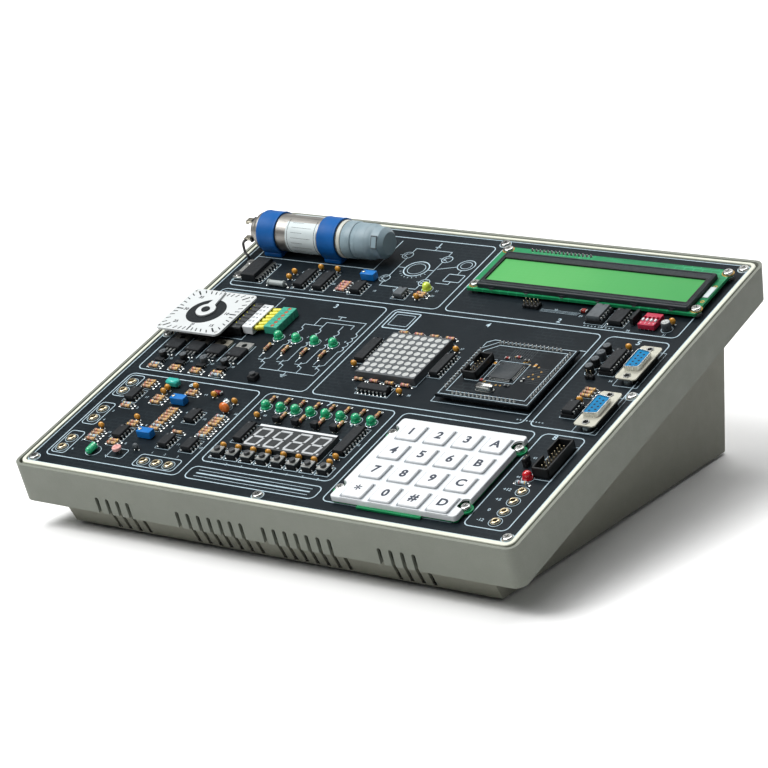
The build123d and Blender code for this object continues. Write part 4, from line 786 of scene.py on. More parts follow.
def chip(G, x0, x1, y0, y1, h=3.2, socket=False, mat="epoxy", vert=True, flip=False):
    z = 1.8 if socket else 0.0
    cx, cy = (x0 + x1) / 2, (y0 + y1) / 2
    Lx, Ly = (x1 - x0, y1 - y0) if vert else (y1 - y0, x1 - x0)
    M = Matrix.Translation((cx, cy, 0)) @ (Matrix.Identity(4) if vert else Matrix.Rotation(math.radians(-90), 4, "Z"))
    a, b = Lx / 2 - 0.75, Ly / 2
    z0, z1 = z + (0.05 if socket else 0.5), z + h
    zm = (z0 + z1) / 2
    # body: waisted moulding with a half-round notch in the top
    k = 0.22
    prof = [(a - k, b - k, z0), (a, b, zm - 0.1), (a, b, zm + 0.1), (a - k, b - k, z1 - 0.06), (a - k - 0.06, b - k - 0.06, z1)]
    vs, fs = [], []
    for (p, q, zz) in prof:
        vs += [(-p, -q, zz), (p, -q, zz), (p, q, zz), (-p, q, zz)]
    fs.append([3, 2, 1, 0])
    for i in range(len(prof) - 1):
        for j in range(4):
            m2 = (j + 1) % 4
            fs.append([i * 4 + j, i * 4 + m2, (i + 1) * 4 + m2, (i + 1) * 4 + j])
    o = (len(prof) - 1) * 4
    tp, tq = prof[-1][0], prof[-1][1]
    ns = 8
    rr = 0.75
    # top face as a polygon round the notch
    arc = [(rr * math.cos(math.pi + math.pi * i / ns), tq + rr * math.sin(math.pi + math.pi * i / ns), z1) for i in range(ns + 1)]
    base_i = len(vs)
    vs += arc
    arc_i = list(range(base_i, base_i + ns + 1))
    fs.append([o, o + 1, o + 2] + arc_i[::-1] + [o + 3])
    low = [(p[0], p[1], z1 - 0.4) for p in arc]
    low_i = list(range(len(vs), len(vs) + ns + 1))
    vs += low
    for i in range(ns):
        fs.append([arc_i[i], arc_i[i + 1], low_i[i + 1], low_i[i]])
    fs.append(low_i)
    G.add(vs, fs, mat, M)
    if mat == "epoxy":
        G.lathe([(0.5, z1), (0.5, z1 + 0.02), (0.0, z1 + 0.03)], "epoxy_grey", M @ Matrix.Translation((-a + 1.3, b - 1.5, 0)), 12)
    n = max(3, int(round(Ly / 2.54)))
    if socket:
        G.frame([(-Lx / 2 - 0.25, -Ly / 2 - 0.35), (Lx / 2 + 0.25, -Ly / 2 - 0.35), (Lx / 2 + 0.25, Ly / 2 + 0.35), (-Lx / 2 - 0.25, Ly / 2 + 0.35)],
                [(-Lx / 2 + 1.5, -Ly / 2 + 1.2), (Lx / 2 - 1.5, -Ly / 2 + 1.2), (Lx / 2 - 1.5, Ly / 2 - 1.2), (-Lx / 2 + 1.5, Ly / 2 - 1.2)], 0.1, 1.8, "black_plastic", M)
    for i in range(n):
        yy = (i - (n - 1) / 2) * 2.54
        for s in (-1, 1):
            xa, xb = s * (a - 0.1), s * (Lx / 2 + 0.02)
            G.box(xa, xb, yy - 0.62, yy + 0.62, zm - 0.13, zm + 0.13, "tin", 0.04, M)
            G.box(xb - s * 0.26, xb, yy - 0.62, yy + 0.62, zm - 1.0 if not socket else 1.7, zm + 0.12, "tin", 0.04, M)
            if not socket:
                G.box(xb - s * 0.26, xb, yy - 0.27, yy + 0.27, 0.02, zm - 0.9, "tin", 0.04, M)
                P = M @ Vector((xb - s * 0.13, yy, 0))
                pad(G, P.x, P.y, 0.62)


RES_H = [(0.076, v) for v in (0.315, 0.3048, 0.2947, 0.2250, 0.2160)] + \
        [(0.1267, v) for v in (0.2656, 0.2569, 0.2444)] + \
        [(0.1814, 0.3005), (0.1814, 0.2900)] + \
        [(0.2867, v) for v in (0.2293, 0.2192, 0.2090, 0.1990, 0.1830, 0.1740, 0.1646, 0.1550)] + \
        [(0.1802, v) for v in (0.2293, 0.2192, 0.2090, 0.1990, 0.1890, 0.1756, 0.1655, 0.1550)] + \
        [(0.1290, 0.1655), (0.1290, 0.1550), (0.2338, 0.1550)] + \
        [(0.0767, v) for v in (0.1175, 0.1074, 0.0972, 0.0870)] + \
        [(0.1279, 0.0940), (0.1279, 0.0840)] + \
        [(0.9200, 0.5010), (0.9200, 0.4898), (0.9200, 0.4786), (0.944, 0.1686)] + \
        [(0.2613, v) for v in (0.774, 0.7645, 0.755, 0.7455)] + [(0.434, 0.767), (0.434, 0.757)]
RES_H += [(u, v) for u in (0.045, 0.093, 0.141, 0.189) for v in (0.3800, 0.3705)]
G = Geo()
for k, (u, v) in enumerate(RES_H):
    body = "pcb_pink" if abs(u - .2613) < .001 else ("res_blue" if k % 7 == 3 else "res_tan")
    resistor(G, U(u), V(v), k=k, body=body)
    SILK.rrect(U(u) - 3.4, U(u) + 3.4, V(v) - 1.15, V(v) + 1.15, 0.3, w=0.22)
for k in range(8):
    resistor(G, U(0.3522 + k * 0.0325), V(0.3150), L=4.4, vert=True, k=k)
for k, u in enumerate((0.4044, 0.4456, 0.4867, 0.5278)):
    resistor(G, U(u), V(0.2620), vert=True, k=k)
for k, u in enumerate((0.2356, 0.276, 0.3176, 0.359)):
    resistor(G, U(u), V(0.496), vert=True, k=k)
    SILK.line([(U(u), V(.5215)), (U(u), V(.5320))], w=0.4)
    SILK.line([(U(u), V(.476)), (U(u), V(.4600))], w=0.4)
for k, (u, v) in enumerate([(u, 0.6130) for u in (0.4767, 0.5092, 0.5433, 0.5767)] + [(u, 0.4275) for u in (0.4775, 0.5100, 0.5437, 0.5767)]):
    resistor(G, U(u), V(v), L=5.4, k=k, body="pcb_pink" if k % 2 else "res_tan")
resistor(G, U(0.1200), V(0.7340), L=12.0, r=2.0, body="res_grey")
CAPS = [(0.3567, 0.2480), (0.5807, 0.1520), (0.442, 0.4740), (0.6103, 0.5717), (0.5800, 0.3990),
        (0.923, 0.658), (0.920, 0.4560), (0.1255, 0.2960), (0.1255, 0.2810), (0.2326, 0.2955),
        (0.2862, 0.2831), (0.1279, 0.1790), (0.0743, 0.1320), (0.1325, 0.788), (0.1325, 0.765),
        (0.1788, 0.8168), (0.2175, 0.8168), (0.433, 0.7470), (0.960, 0.7676), (0.179, 0.3159), (0.186, 0.08)]
for u, v in CAPS:
    disc(G, U(u), V(v), mat="epoxy_grey" if (u, v) == (0.186, 0.08) else "cap_amber")
for i in range(8):
    disc(G, U(0.3522 + i * 0.0325), V(0.1310))
disc(G, U(0.2843), V(0.2497), d=6.4, t=3.1, h=6.6, mat="cap_orange")
x, y = U(0.1279), V(0.3140)
G.box(x - 4.1, x + 4.1, y - 2.3, y + 2.3, 0.5, 4.6, "cap_teal", 0.9)
for s in (-1, 1):
    G.tube([(x + s * 2.6, y, 0.8), (x + s * 2.6, y, 0.02)], 0.3, "tin", 8)
    pad(G, x + s * 2.6, y)
CANS = [(0.2790, 0.2660, 2.0, 4.5), (0.889, 0.640, 2.5, 5.0), (0.889, 0.6146, 2.5, 5.0), (0.889, 0.589, 2.5, 5.0), (0.889, 0.5627, 2.5, 5.0),
        (0.9570, 0.7470, 2.6, 5.0)] + [(u, 0.4108, 2.3, 4.6) for u in (0.045, 0.093, 0.141, 0.189)]
for k, (u, v, r, h) in enumerate(CANS):
    M = Matrix.Translation((U(u), V(v), 0))
    G.lathe([(0, 0.35), (r - 0.1, 0.35), (r, 0.5), (r, 0.95), (r - 0.16, 1.15), (r - 0.16, 1.3), (r, 1.5), (r, h - 0.35), (r - 0.15, h - 0.1), (r - 0.4, h - 0.02)],
            "tin" if k == 0 else ("epoxy_grey" if k % 3 == 2 else "black_plastic"), M, 22)
    G.lathe([(r - 0.4, h - 0.02), (r - 0.55, h - 0.12), (0, h - 0.12)], "tin" if k == 0 else ("dot_grey" if k == 5 else "epoxy_grey"), M, 22)
    # black cross on each can top: painted shade for the scored vent grooves
    for a in (0, 90):
        G.box(-r + 0.7, r - 0.7, -0.08, 0.08, h - 0.14, h - 0.09, "epoxy", 0.01, M @ Matrix.Rotation(math.radians(a + 45), 4, "Z"))
    for s in (-1, 1):
        G.tube([(U(u) + s * 1.0, V(v), 0.4), (U(u) + s * 1.0, V(v), 0.02)], 0.25, "tin", 6)
        pad(G, U(u) + s * 1.0, V(v), 0.6)
    SILK.circle(U(u), V(v), r + 0.6, w=0.28)
for u in (0.4044, 0.4456, 0.4867, 0.5278):
    x, y = U(u), V(0.2400)
    pts = [(x + 2.25 * math.cos(math.radians(a)), y + 2.25 * math.sin(math.radians(a))) for a in range(-32, 213, 16)]
    G.prism(pts, 1.2, 4.55, "epoxy", 0.18)
    for i in (-1, 0, 1):
        G.tube([(x + i * 1.0, y, 1.3), (x + i * 1.27, y, 0.7), (x + i * 1.27, y, 0.02)], 0.25, "tin", 6)
        pad(G, x + i * 1.27, y, 0.55)
for u, v in ((0.1761, 0.2576), (0.1793, 0.1280), (0.2970, 0.8040)):
    x, y = U(u), V(v)
    G.box(x - 4.65, x + 4.65, y - 2.35, y + 2.35, 0.4, 4.75, "trim_blue", 0.25)
    G.ring(x - 3.2, y, 4.7, 5.0, 1.0, 1.35, "trim_blue", 18)
    M = Matrix.Translation((x - 3.2, y, 0))
    G.lathe([(0, 4.6), (0.95, 4.6), (0.95, 5.0), (0.8, 5.12), (0, 5.12)], "brass", M, 18)
    # black line across the brass screw: painted shade for the screwdriver slot, which is not cut
    G.box(x - 4.0, x - 2.4, y - 0.16, y + 0.16, 5.08, 5.15, "epoxy", 0.01)
    for s in (-1, 0, 1):
        G.tube([(x + s * 2.54, y, 0.5), (x + s * 2.54, y, 0.02)], 0.25, "tin", 6)
        pad(G, x + s * 2.54, y, 0.6)
x, y = U(0.1564), V(0.06)
G.cyl(x, y, 2.2, 4.0, 2.55, "sensor_pink", 0.25, 24)
G.line([(x - 1.7 + (0.4 if i % 2 else 0), y - 1.6 + i * 0.45) if i % 2 else (x + 1.7, y - 1.6 + i * 0.45) for i in range(8)], w=0.2, z=4.0, h=0.03, mat="band_red")
for s in (-1, 1):
    G.tube([(x + s * 1.3, y, 2.4), (x + s * 1.3, y, 0.02)], 0.25, "tin", 6)
SILK.rrect(x - 5.2, x + 5.2, y - 4.6, y + 3.6, 1.5, w=0.35)
SILK.line([(x - 6.4, y - 3.4), (x - 4.6, y - 5.4)], w=0.35)
x, y = U(0.888), V(0.765)
G.box(x - 1.15, x + 1.15, y - 4.95, y + 4.95, 0.6, 4.55, "epoxy", 0.25)
for i in range(5):
    G.tube([(x, y - 4 + i * 2, 0.8), (x, y - 4 + i * 2, 0.02)], 0.25, "tin", 6)
    pad(G, x, y - 4 + i * 2, 0.55)
x, y = U(0.2326), V(0.3085)
G.box(x - 2.5, x + 2.5, y - 1.2, y + 1.2, 0.1, 2.3, "cap_red", 0.6)
G.box(x - 2.95, x - 1.9, y - 1.25, y + 1.25, 0.05, 2.0, "tin", 0.3); G.box(x + 1.9, x + 2.95, y - 1.25, y + 1.25, 0.05, 2.0, "tin", 0.3)
x, y = U(0.777), V(0.775)
G.box(x - 1.5, x + 1.5, y - 1.3, y + 1.3, 0.1, 1.75, "cap_red", 0.35)
G.box(x - 2.15, x - 1.2, y - 1.35, y + 1.35, 0.05, 1.5, "tin", 0.3); G.box(x + 1.2, x + 2.15, y - 1.35, y + 1.35, 0.05, 1.5, "tin", 0.3)
AB1 = 4.2
AX0, AX1, AY0, AY1 = U(0.6522) + 1.6, U(0.842) + 1.6, V(0.404) - 2.0, V(0.621) - 2.0
cx, cy = (U(0.719) + U(0.7567)) / 2 + 1.6, (V(0.4304) + V(0.4503)) / 2 - 2.0
G.prism(rr_pts(cx - 5.5, cx + 5.5, cy - 2.3, cy + 2.3, 2.25, 6), AB1, AB1 + 0.5, "tin", 0.0)
G.prism(rr_pts(cx - 5.1, cx + 5.1, cy - 1.95, cy + 1.95, 1.9, 6), AB1 + 0.5, AB1 + 3.4, "screw_steel", 0.45)
for du, dv, w, d in ((0.7250, 0.5600, 3.2, 1.6), (0.7450, 0.5680, 3.2, 1.6), (0.7650, 0.5600, 3.2, 1.6), (0.7900, 0.5450, 1.6, 3.2),
                     (0.7900, 0.4900, 1.6, 3.2), (0.7150, 0.4730, 3.2, 1.6), (0.7700, 0.4640, 3.2, 1.6), (0.7120, 0.5350, 1.6, 3.2)):
    x, y = U(du) + 1.6, V(dv) - 2.0
    if w > d:
        G.box(x - 0.9, x + 0.9, y - 0.72, y + 0.72, AB1, AB1 + 0.75, "epoxy" if du > .75 else "cap_red", 0.08)
        for s in (-1, 1):
            G.box(x + s * 1.55, x + s * 0.85, y - 0.76, y + 0.76, AB1, AB1 + 0.78, "tin", 0.1)
    else:
        G.box(x - 0.72, x + 0.72, y - 0.9, y + 0.9, AB1, AB1 + 0.75, "cap_amber" if dv > .5 else "epoxy", 0.08)
        for s in (-1, 1):
            G.box(x - 0.76, x + 0.76, y + s * 1.55, y + s * 0.85, AB1, AB1 + 0.78, "tin", 0.1)
G.obj("small_parts", "case", slot="component_tan", repl=("passives",))

# ---- chips
G = Geo()
DIPS_V = [
    (0.798, 0.830, 0.737, 0.789, True), (0.840, 0.872, 0.737, 0.789, False),
    (0.3530, 0.3760, 0.157, 0.220, False), (0.562, 0.588, 0.166, 0.262, False),
    (0.4300, 0.4560, 0.49, 0.5733, False), (0.6000, 0.6230, 0.4747, 0.5530, False),
    (0.9080, 0.9340, 0.5615, 0.6380, True), (0.9080, 0.9330, 0.4017, 0.4432, True),
    (0.0560, 0.0820, 0.2390, 0.2800, False), (0.2200, 0.2450, 0.1960, 0.2360, False),
    (0.2200, 0.2450, 0.0990, 0.1390, False), (0.2720, 0.2970, 0.0990, 0.1390, False),
    (0.1130, 0.1380, 0.1030, 0.1430, False), (0.1550, 0.1810, 0.7350, 0.8020, False),
    (0.1990, 0.2250, 0.7350, 0.8020, False), (0.2830, 0.3090, 0.7390, 0.7790, False),
    (0.3800, 0.4050, 0.7420, 0.7720, False),
]
for k, (u0, u1, v0, v1, so) in enumerate(DIPS_V):
    chip(G, U(u0), U(u1), V(v0), V(v1), h=2.8 if so else 3.2, socket=so, mat="epoxy_grey" if k in (0, 16) else "epoxy")
    SILK.rrect(U(u0) - 0.9, U(u1) + 0.9, V(v0) - 0.9, V(v1) + 0.9, 0.2, w=0.24)
chip(G, U(0.4958), U(0.5583), V(0.3840), V(0.4120), vert=False)
SILK.rrect(U(.4958) - 1, U(.5583) + 1, V(.3840) - 1, V(.4120) + 1, 0.2, w=0.3)
for u in (0.045, 0.093, 0.141, 0.189):
    x0, x1, y0, y1 = U(u) - 3.6, U(u) + 3.6, V(0.3900), V(0.4010)
    G.box(x0 + 0.7, x1 - 0.7, y0, y1, 0.5, 2.0, "epoxy", 0.2)
    for i in range(2):
        for s in (-1, 1):
            yy = (y0 + y1) / 2 + (i - 0.5) * 1.4
            G.tube([(U(u) + s * 2.6, yy, 1.0), (U(u) + s * 3.3, yy, 1.0), (U(u) + s * 3.4, yy, 0.05)], 0.24, "tin", 6)
# quad flat pack
TQ = (U(0.7465) + 1.6, V(0.5116) - 2.0)
q = [(TQ[0] - 7, TQ[1] - 6.3), (TQ[0] - 6.3, TQ[1] - 7), (TQ[0] + 6.3, TQ[1] - 7), (TQ[0] + 7, TQ[1] - 6.3), (TQ[0] + 7, TQ[1] + 6.3), (TQ[0] + 6.3, TQ[1] + 7), (TQ[0] - 6.3, TQ[1] + 7), (TQ[0] - 7, TQ[1] + 6.3)]
G.prism(q, AB1 + 0.1, AB1 + 1.2, "chip_dark", 0.15)
G.lathe([(0.7, AB1 + 1.2), (0.7, AB1 + 1.21), (0, AB1 + 1.22)], "epoxy", Matrix.Translation((TQ[0] - 5.3, TQ[1] + 5.3, 0)), 16)
for i in range(16):
    o = (i - 7.5) * 0.8
    for s in (-1, 1):
        for M in (Matrix.Translation((TQ[0], TQ[1], 0)), Matrix.Translation((TQ[0], TQ[1], 0)) @ Matrix.Rotation(math.radians(90), 4, "Z")):
            G.box(s * 6.9, s * 7.5, o - 0.19, o + 0.19, AB1 + 0.5, AB1 + 0.68, "tin", 0.03, M)
            G.box(s * 7.4, s * 7.58, o - 0.19, o + 0.19, AB1 + 0.05, AB1 + 0.68, "tin", 0.03, M)
            G.box(s * 7.45, s * 8.35, o - 0.19, o + 0.19, AB1 + 0.02, AB1 + 0.18, "tin", 0.03, M)
# flat power transistors with steel tabs; the dial plate's shade is painted fully onto the first two tabs and by half
# onto the third
for k, u in enumerate((0.045, 0.093, 0.141, 0.189)):
    x, y = U(u), V(0.4955) - 2.3
    hole = [(x + 1.7 * math.cos(math.radians(a)), y - 0.2 + 1.7 * math.sin(math.radians(a))) for a in range(-135, 225, 15)]
    out = []
    for a in range(-135, 225, 15):
        t_ = math.radians(a)
        c0, s0 = math.cos(t_), math.sin(t_)
        kx = 5.0 / max(abs(c0), 1e-6)
        ky = (3.1 if s0 > 0 else 3.4) / max(abs(s0), 1e-6)
        kk = min(kx, ky)
        out.append((x + c0 * kk, y - 0.2 + s0 * kk))
    # tab metal per transistor, darkened by painted shade under the dial plate
    tab_shade_mat = ("tab_painted_shade", "tab_painted_shade", "tab_mid_and_painted_half_shade", "tab_steel")[k]
    G.frame(out, hole, 0.4, 1.7, tab_shade_mat)
    G.prism([(x - 5, y - 11.5), (x + 5, y - 11.5), (x + 5, y - 3.6), (x + 4.4, y - 3.3), (x - 4.4, y - 3.3), (x - 5, y - 3.6)], 0.45, 2.8, "epoxy", 0.3)
    G.cyl(x - 3.4, y - 10.2, 2.7, 2.82, 0.6, "epoxy_grey", 0.05, 14)
    for i in (-1, 0, 1):
        xx = x + i * 2.54
        G.box(xx - 0.65, xx + 0.65, y - 13.2, y - 11.4, 1.22, 1.68, "tin", 0.05)
        G.box(xx - 0.38, xx + 0.38, y - 15.3, y - 13.1, 1.22, 1.68, "tin", 0.05)
        G.box(xx - 0.38, xx + 0.38, y - 15.6, y - 15.15, 0.05, 1.65, "tin", 0.05)
        pad(G, xx, y - 15.4, 0.7)
    SILK.line([(x + 5.7, y - 15.8), (x + 5.7, y + 2.6)], w=0.5)
    SILK.line([(x - 5.7, y - 15.8), (x - 5.7, y - 3.0)], w=0.25)
by = V(0.778)
G.box(U(0.0110), U(0.0330), by - 9.6, by + 9.6, 0.4, 1.9, "tab_steel", 0.2)
for s in (-1, 1):
    G.cyl(U(0.0190), by + s * 6.6, 1.9, 2.7, 2.5, "screw_steel", 0.3, 22)
    # black line on each screw head: painted shade for the slot, which is not cut
    G.box(U(0.019) - 1.6, U(0.019) + 1.6, by + s * 6.6 - 0.25, by + s * 6.6 + 0.25, 2.68, 2.73, "epoxy", 0.01)
G.prism([(U(0.0325), by - 9.6), (U(0.0655), by - 9.6), (U(0.0655), by + 9.6), (U(0.0325), by + 9.6)], 0.4, 4.8, "epoxy", 0.3)
for i in range(15):
    yy = by + (i - 7) * 1.27
    e = U(0.0655) + (3.4 if i % 2 else 2.2)
    G.tube([(U(0.0650), yy, 2.25), (e - 0.5, yy, 2.25), (e, yy, 1.7), (e, yy, 0.03)], 0.3, "tin", 6)
    pad(G, e, yy, 0.5)
SILK.rrect(U(0.0095), U(0.0800), by - 10.6, by + 10.6, 0.3, w=0.35)
G.obj("chip_set", "case", slot="chip_epoxy", repl=("chips",))

# ---- lamps
G = Geo()


def lamp(x, y, mat, h=4.8, r=2.45, tilt=0.0):
    M = Matrix.Translation((x, y, 0)) @ Matrix.Rotation(tilt, 4, "X")
    prof = [(0, 0.12), (r + 0.35, 0.12), (r + 0.35, 0.95), (r, 1.05), (r, h - r)]
    for i in range(1, 8):
        a = math.radians(90 * i / 7)
        prof.append((r * math.cos(a) if i < 7 else 0, h - r + (r - 0.05) * math.sin(a)))
    G.lathe(prof, mat, M, 26)
    SILK.circle(x, y, 3.4, w=0.32)
    for s in (-1, 1):
        pad(G, x + s * 1.27, y - 3.1, 0.6)


for i in range(8):
    lamp(U(0.3522 + i * 0.0325), V(0.2880), "led_green")
for u in (0.2356, 0.276, 0.3176, 0.359):
    lamp(U(u), V(0.5395), "led_green")
lamp(U(0.433), V(0.7900), "led_yellow")
lamp(U(0.9458), V(0.189), "led_red")
M = Matrix.Translation((U(0.1038), V(0.0470) + 3.5, 2.3)) @ Matrix.Rotation(math.radians(90), 4, "X")
r = 2.15
prof = [(0, 0), (r + 0.05, 0), (r + 0.05, 0.9), (r - 0.1, 1.0), (r - 0.1, 4.8)] + [((r - 0.1) * math.cos(math.radians(q * 15)) if q < 6 else 0, 4.8 + 2.1 * math.sin(math.radians(q * 15))) for q in range(1, 7)]
G.lathe(prof, "led_green", M, 24)
for s in (-1, 1):
    G.tube([(U(.1038) + s * 1.27, V(.047) + 3.3, 2.3), (U(.1038) + s * 1.27, V(.047) + 4.8, 2.2), (U(.1038) + s * 1.27, V(.047) + 5.2, 1.6), (U(.1038) + s * 1.27, V(.047) + 5.2, 0.03)], 0.28, "tin", 8)
SILK.circle(U(.1038), V(.0508) + 0.6, 4.4, w=0.35)
G.obj("lamps", "case", slot="led_green", repl=("leds",))

# ---- serial ports
G = Geo()
for v0, v1 in ((0.5427, 0.6659), (0.3695, 0.4944)):
    x = (U(0.9474) + U(0.988)) / 2 + 1.4
    y = (V(v0) + V(v1)) / 2 - 2.2
    G.box(x - 5.1, x + 5.1, y - 10.4, y + 10.4, 0.05, 3.55, "black_plastic", 0.3)
    for s in (-1, 1):
        G.cyl(x, y + s * 12.5, 0.05, 3.6, 2.5, "tin", 0.2, 6)
    # flange with two screw holes
    T = Matrix.Translation((x, y, 0))
    G.box(-6.2, 6.2, -10.9, 10.9, 3.6, 4.3, "port_flange", 0.12, T)
    for s in (-1, 1):
        ring_i = [(1.6 * math.cos(math.radians(a)), s * 12.5 + 1.6 * math.sin(math.radians(a))) for a in range(0, 360, 15)]
        ring_o = []
        for a in range(0, 360, 15):
            c0, s0 = math.cos(math.radians(a)), math.sin(math.radians(a))
            kx = 6.2 / max(abs(c0), 1e-6)
            up = 2.9 if s * s0 > 0 else 1.65
            ky = up / max(abs(s0), 1e-6)
            kk = min(kx, ky)
            ring_o.append((c0 * kk, s * 12.5 + s0 * kk))
        G.frame(ring_o, ring_i, 3.6, 4.3, "port_flange", T)
        G.ring(0, s * 12.5, 4.2, 4.7, 1.55, 2.3, "screw_steel", 6, 0.1, T)
        # black disc inside each flange screw hole: painted shade for the hole's depth
        G.lathe([(1.5, 3.9), (0, 3.9)], "epoxy", T @ Matrix.Translation((0, s * 12.5, 0)), 16)

    def dpts(w, L, r=1.4):
        raw = [(-w / 2, -L / 2), (w / 2, -L / 2 + 1.3), (w / 2, L / 2 - 1.3), (-w / 2, L / 2)]
        out = []
        for i in range(4):
            p0, p1, p2 = Vector(raw[i - 1]), Vector(raw[i]), Vector(raw[(i + 1) % 4])
            a, b = p1 + (p0 - p1).normalized() * r, p1 + (p2 - p1).normalized() * r
            for k in range(5):
                t_ = k / 4
                out.append(tuple((1 - t_) ** 2 * a + 2 * t_ * (1 - t_) * p1 + t_ * t_ * b))
        return out
    G.frame(dpts(8.6, 17.2), dpts(7.9, 16.5), 4.2, 7.2, "port_shell", T)
    G.prism(dpts(7.8, 16.4), 3.9, 6.75, "insert_blue", 0.25, T)
    # black dots for the contact holes: painted shade, the holes are not cut
    for k in range(5):
        G.lathe([(0.62, 6.76), (0.62, 6.78), (0, 6.78)], "ink_black", T @ Matrix.Translation((-1.42, (k - 2) * 2.77, 0)), 12)
    for k in range(4):
        G.lathe([(0.62, 6.76), (0.62, 6.78), (0, 6.78)], "ink_black", T @ Matrix.Translation((1.42, (k - 1.5) * 2.77, 0)), 12)
    SILK.rrect(x - 7.4, x + 6.9, y - 16.6, y + 16.6, 0.5, w=0.3)
G.obj("serial_connectors", "case", slot="port_metal", repl=("serial_ports",))

# ---- connectors
G = Geo()


def header(x, y, n, along=True, rows=1, base=0.0, h=2.5, pin=5.4):
    for i in range(n):
        for j in range(rows):
            a, b = (i - (n - 1) / 2) * 2.54, (j - (rows - 1) / 2) * 2.54
            px, py = (x + a, y + b) if along else (x + b, y + a)
            G.box(px - 1.24, px + 1.24, py - 1.24, py + 1.24, base, base + h, "black_plastic", 0.32)
            G.box(px - 0.32, px + 0.32, py - 0.32, py + 0.32, base + h - 0.1, base + pin, "brass" if pin > 3 else "tin", 0.14)


LT, LCD_N = 3.6, 2.0
hx = (U(0.568) + U(0.700)) / 2 + 2.5
for i in range(16):
    px = hx + (i - 7.5) * 2.54
    G.lathe([(0.95, LT), (0.95, LT + 0.08), (0.5, LT + 0.9), (0.2, LT + 1.5), (0, LT + 1.55)], "tin", Matrix.Translation((px, V(.977) - 3, 0)), 12)
    G.box(px - 1.22, px + 1.22, V(.977) - 4.25, V(.977) - 1.75, 0.05, LCD_N, "black_plastic", 0.3)
hy = [(U(0.7475) + 1.6, AY1 - 2.6, 16, True), (U(0.7475) + 1.6, AY0 + 2.6, 16, True), (AX0 + 2.6, V(0.5050) - 2.0, 15, False), (AX1 - 2.6, V(0.5190) - 2.0, 17, False)]
for x, y, n, al in hy:
    for i in range(n):
        o = (i - (n - 1) / 2) * 2.54
        px, py = (x + o, y) if al else (x, y + o)
        G.lathe([(0.9, AB1), (0.9, AB1 + 0.06), (0.5, AB1 + 0.8), (0.28, AB1 + 1.7), (0, AB1 + 1.75)], "tin", Matrix.Translation((px, py, 0)), 10)
        G.box(px - 1.22, px + 1.22, py - 1.22, py + 1.22, 0.05, 2.6, "black_plastic", 0.3)


def boxhead(x, y, n, w, L, base, h):
    a, b = w / 2, L / 2
    for s in (-1, 1):
        G.box(x - a, x + a, y + s * b, y + s * (b - 1.0), base, base + h, "black_plastic", 0.15)
        if s > 0:
            G.box(x + a - 1.0, x + a, y - b, y + b, base, base + h, "black_plastic", 0.15)
    for s in (-1, 1):
        G.box(x - a, x - a + 1.0, y + s * b, y + s * 2.2, base, base + h, "black_plastic", 0.15)
    G.box(x - a, x + a, y - b, y + b, base, base + 1.2, "black_plastic", 0.1)
    for i in range(n):
        for j in (-1, 1):
            px, py = x + j * 1.27, y + (i - (n - 1) / 2) * 2.54
            G.box(px - 0.32, px + 0.32, py - 0.32, py + 0.32, base + 1.0, base + h - 1.0, "brass", 0.14)


boxhead(U(0.6900) + 1.8, V(0.5098) - 2.0, 5, 8.6, 19.0, AB1, 4.6)
boxhead(U(0.9645) + 1.2, V(0.2560) - 1.6, 8, 9.6, 27.0, 0.0, 6.0)
header(U(0.9250), V(0.2296), 2, along=False, h=2.4, pin=5.4)
header(U(0.9130) - 4.4, V(0.5420), 2, along=True, h=2.4, pin=5.4)
G.box(U(.925) - 1.25, U(.925) + 1.25, V(.2296) - 2.5, V(.2296) + 2.5, 2.45, 5.3, "black_plastic", 0.3)
header(U(0.6700), V(0.7718), 4, rows=2, h=2.2, pin=4.6)
SILK.rrect(U(.9645) - 5.4, U(.9645) + 7.2, V(.256) - 16.4, V(.256) + 13.2, 0.4, w=0.35)
# screw terminal
TBX0, TBX1, TBY0, TBY1, TBH = -92.0, -82.6, 12.15, 32.95, 5.0
for i in range(6):
    y0, y1 = TBY0 + (TBY1 - TBY0) * i / 6, TBY0 + (TBY1 - TBY0) * (i + 1) / 6
    ym = (y0 + y1) / 2
    G.box(TBX0 + 2.2, TBX1, y0 + 0.03, y1 - 0.03, 0.05, TBH - 0.02, "term_green", 0.22)
    G.box(TBX0, TBX0 + 2.4, y0 + 0.03, y1 - 0.03, 3.8, TBH - 0.1, "term_green", 0.3)
    G.box(TBX0, TBX0 + 2.4, y0 + 0.03, y1 - 0.03, 0.05, 1.4, "term_green", 0.2)
    for s in (y0 + 0.35, y1 - 0.35):
        G.box(TBX0 + 0.1, TBX0 + 2.4, s - 0.30, s + 0.30, 1.3, 3.9, "term_green", 0.1)
    xs = (TBX0 + TBX1) / 2 + 0.8
    G.ring(xs, ym, TBH - 0.06, TBH, 1.25, 1.5, "term_green", 18, 0.02)
    # dark ring between the screw head and its hole, and a black line for the screw slot: painted shade in gap and slot
    G.lathe([(1.28, TBH - 0.01), (1.28, TBH), (1.0, TBH)], "gear_dark", Matrix.Translation((xs, ym, 0)), 18)
    G.lathe([(0, TBH + 0.0), (1.0, TBH + 0.0), (1.0, TBH + 0.02), (0.9, TBH + 0.05), (0, TBH + 0.05)], "term_orange", Matrix.Translation((xs, ym, -0.04)), 18)
    G.box(xs - 0.85, xs + 0.85, ym - 0.16, ym + 0.16, TBH + 0.0, TBH + 0.03, "epoxy", 0.01)
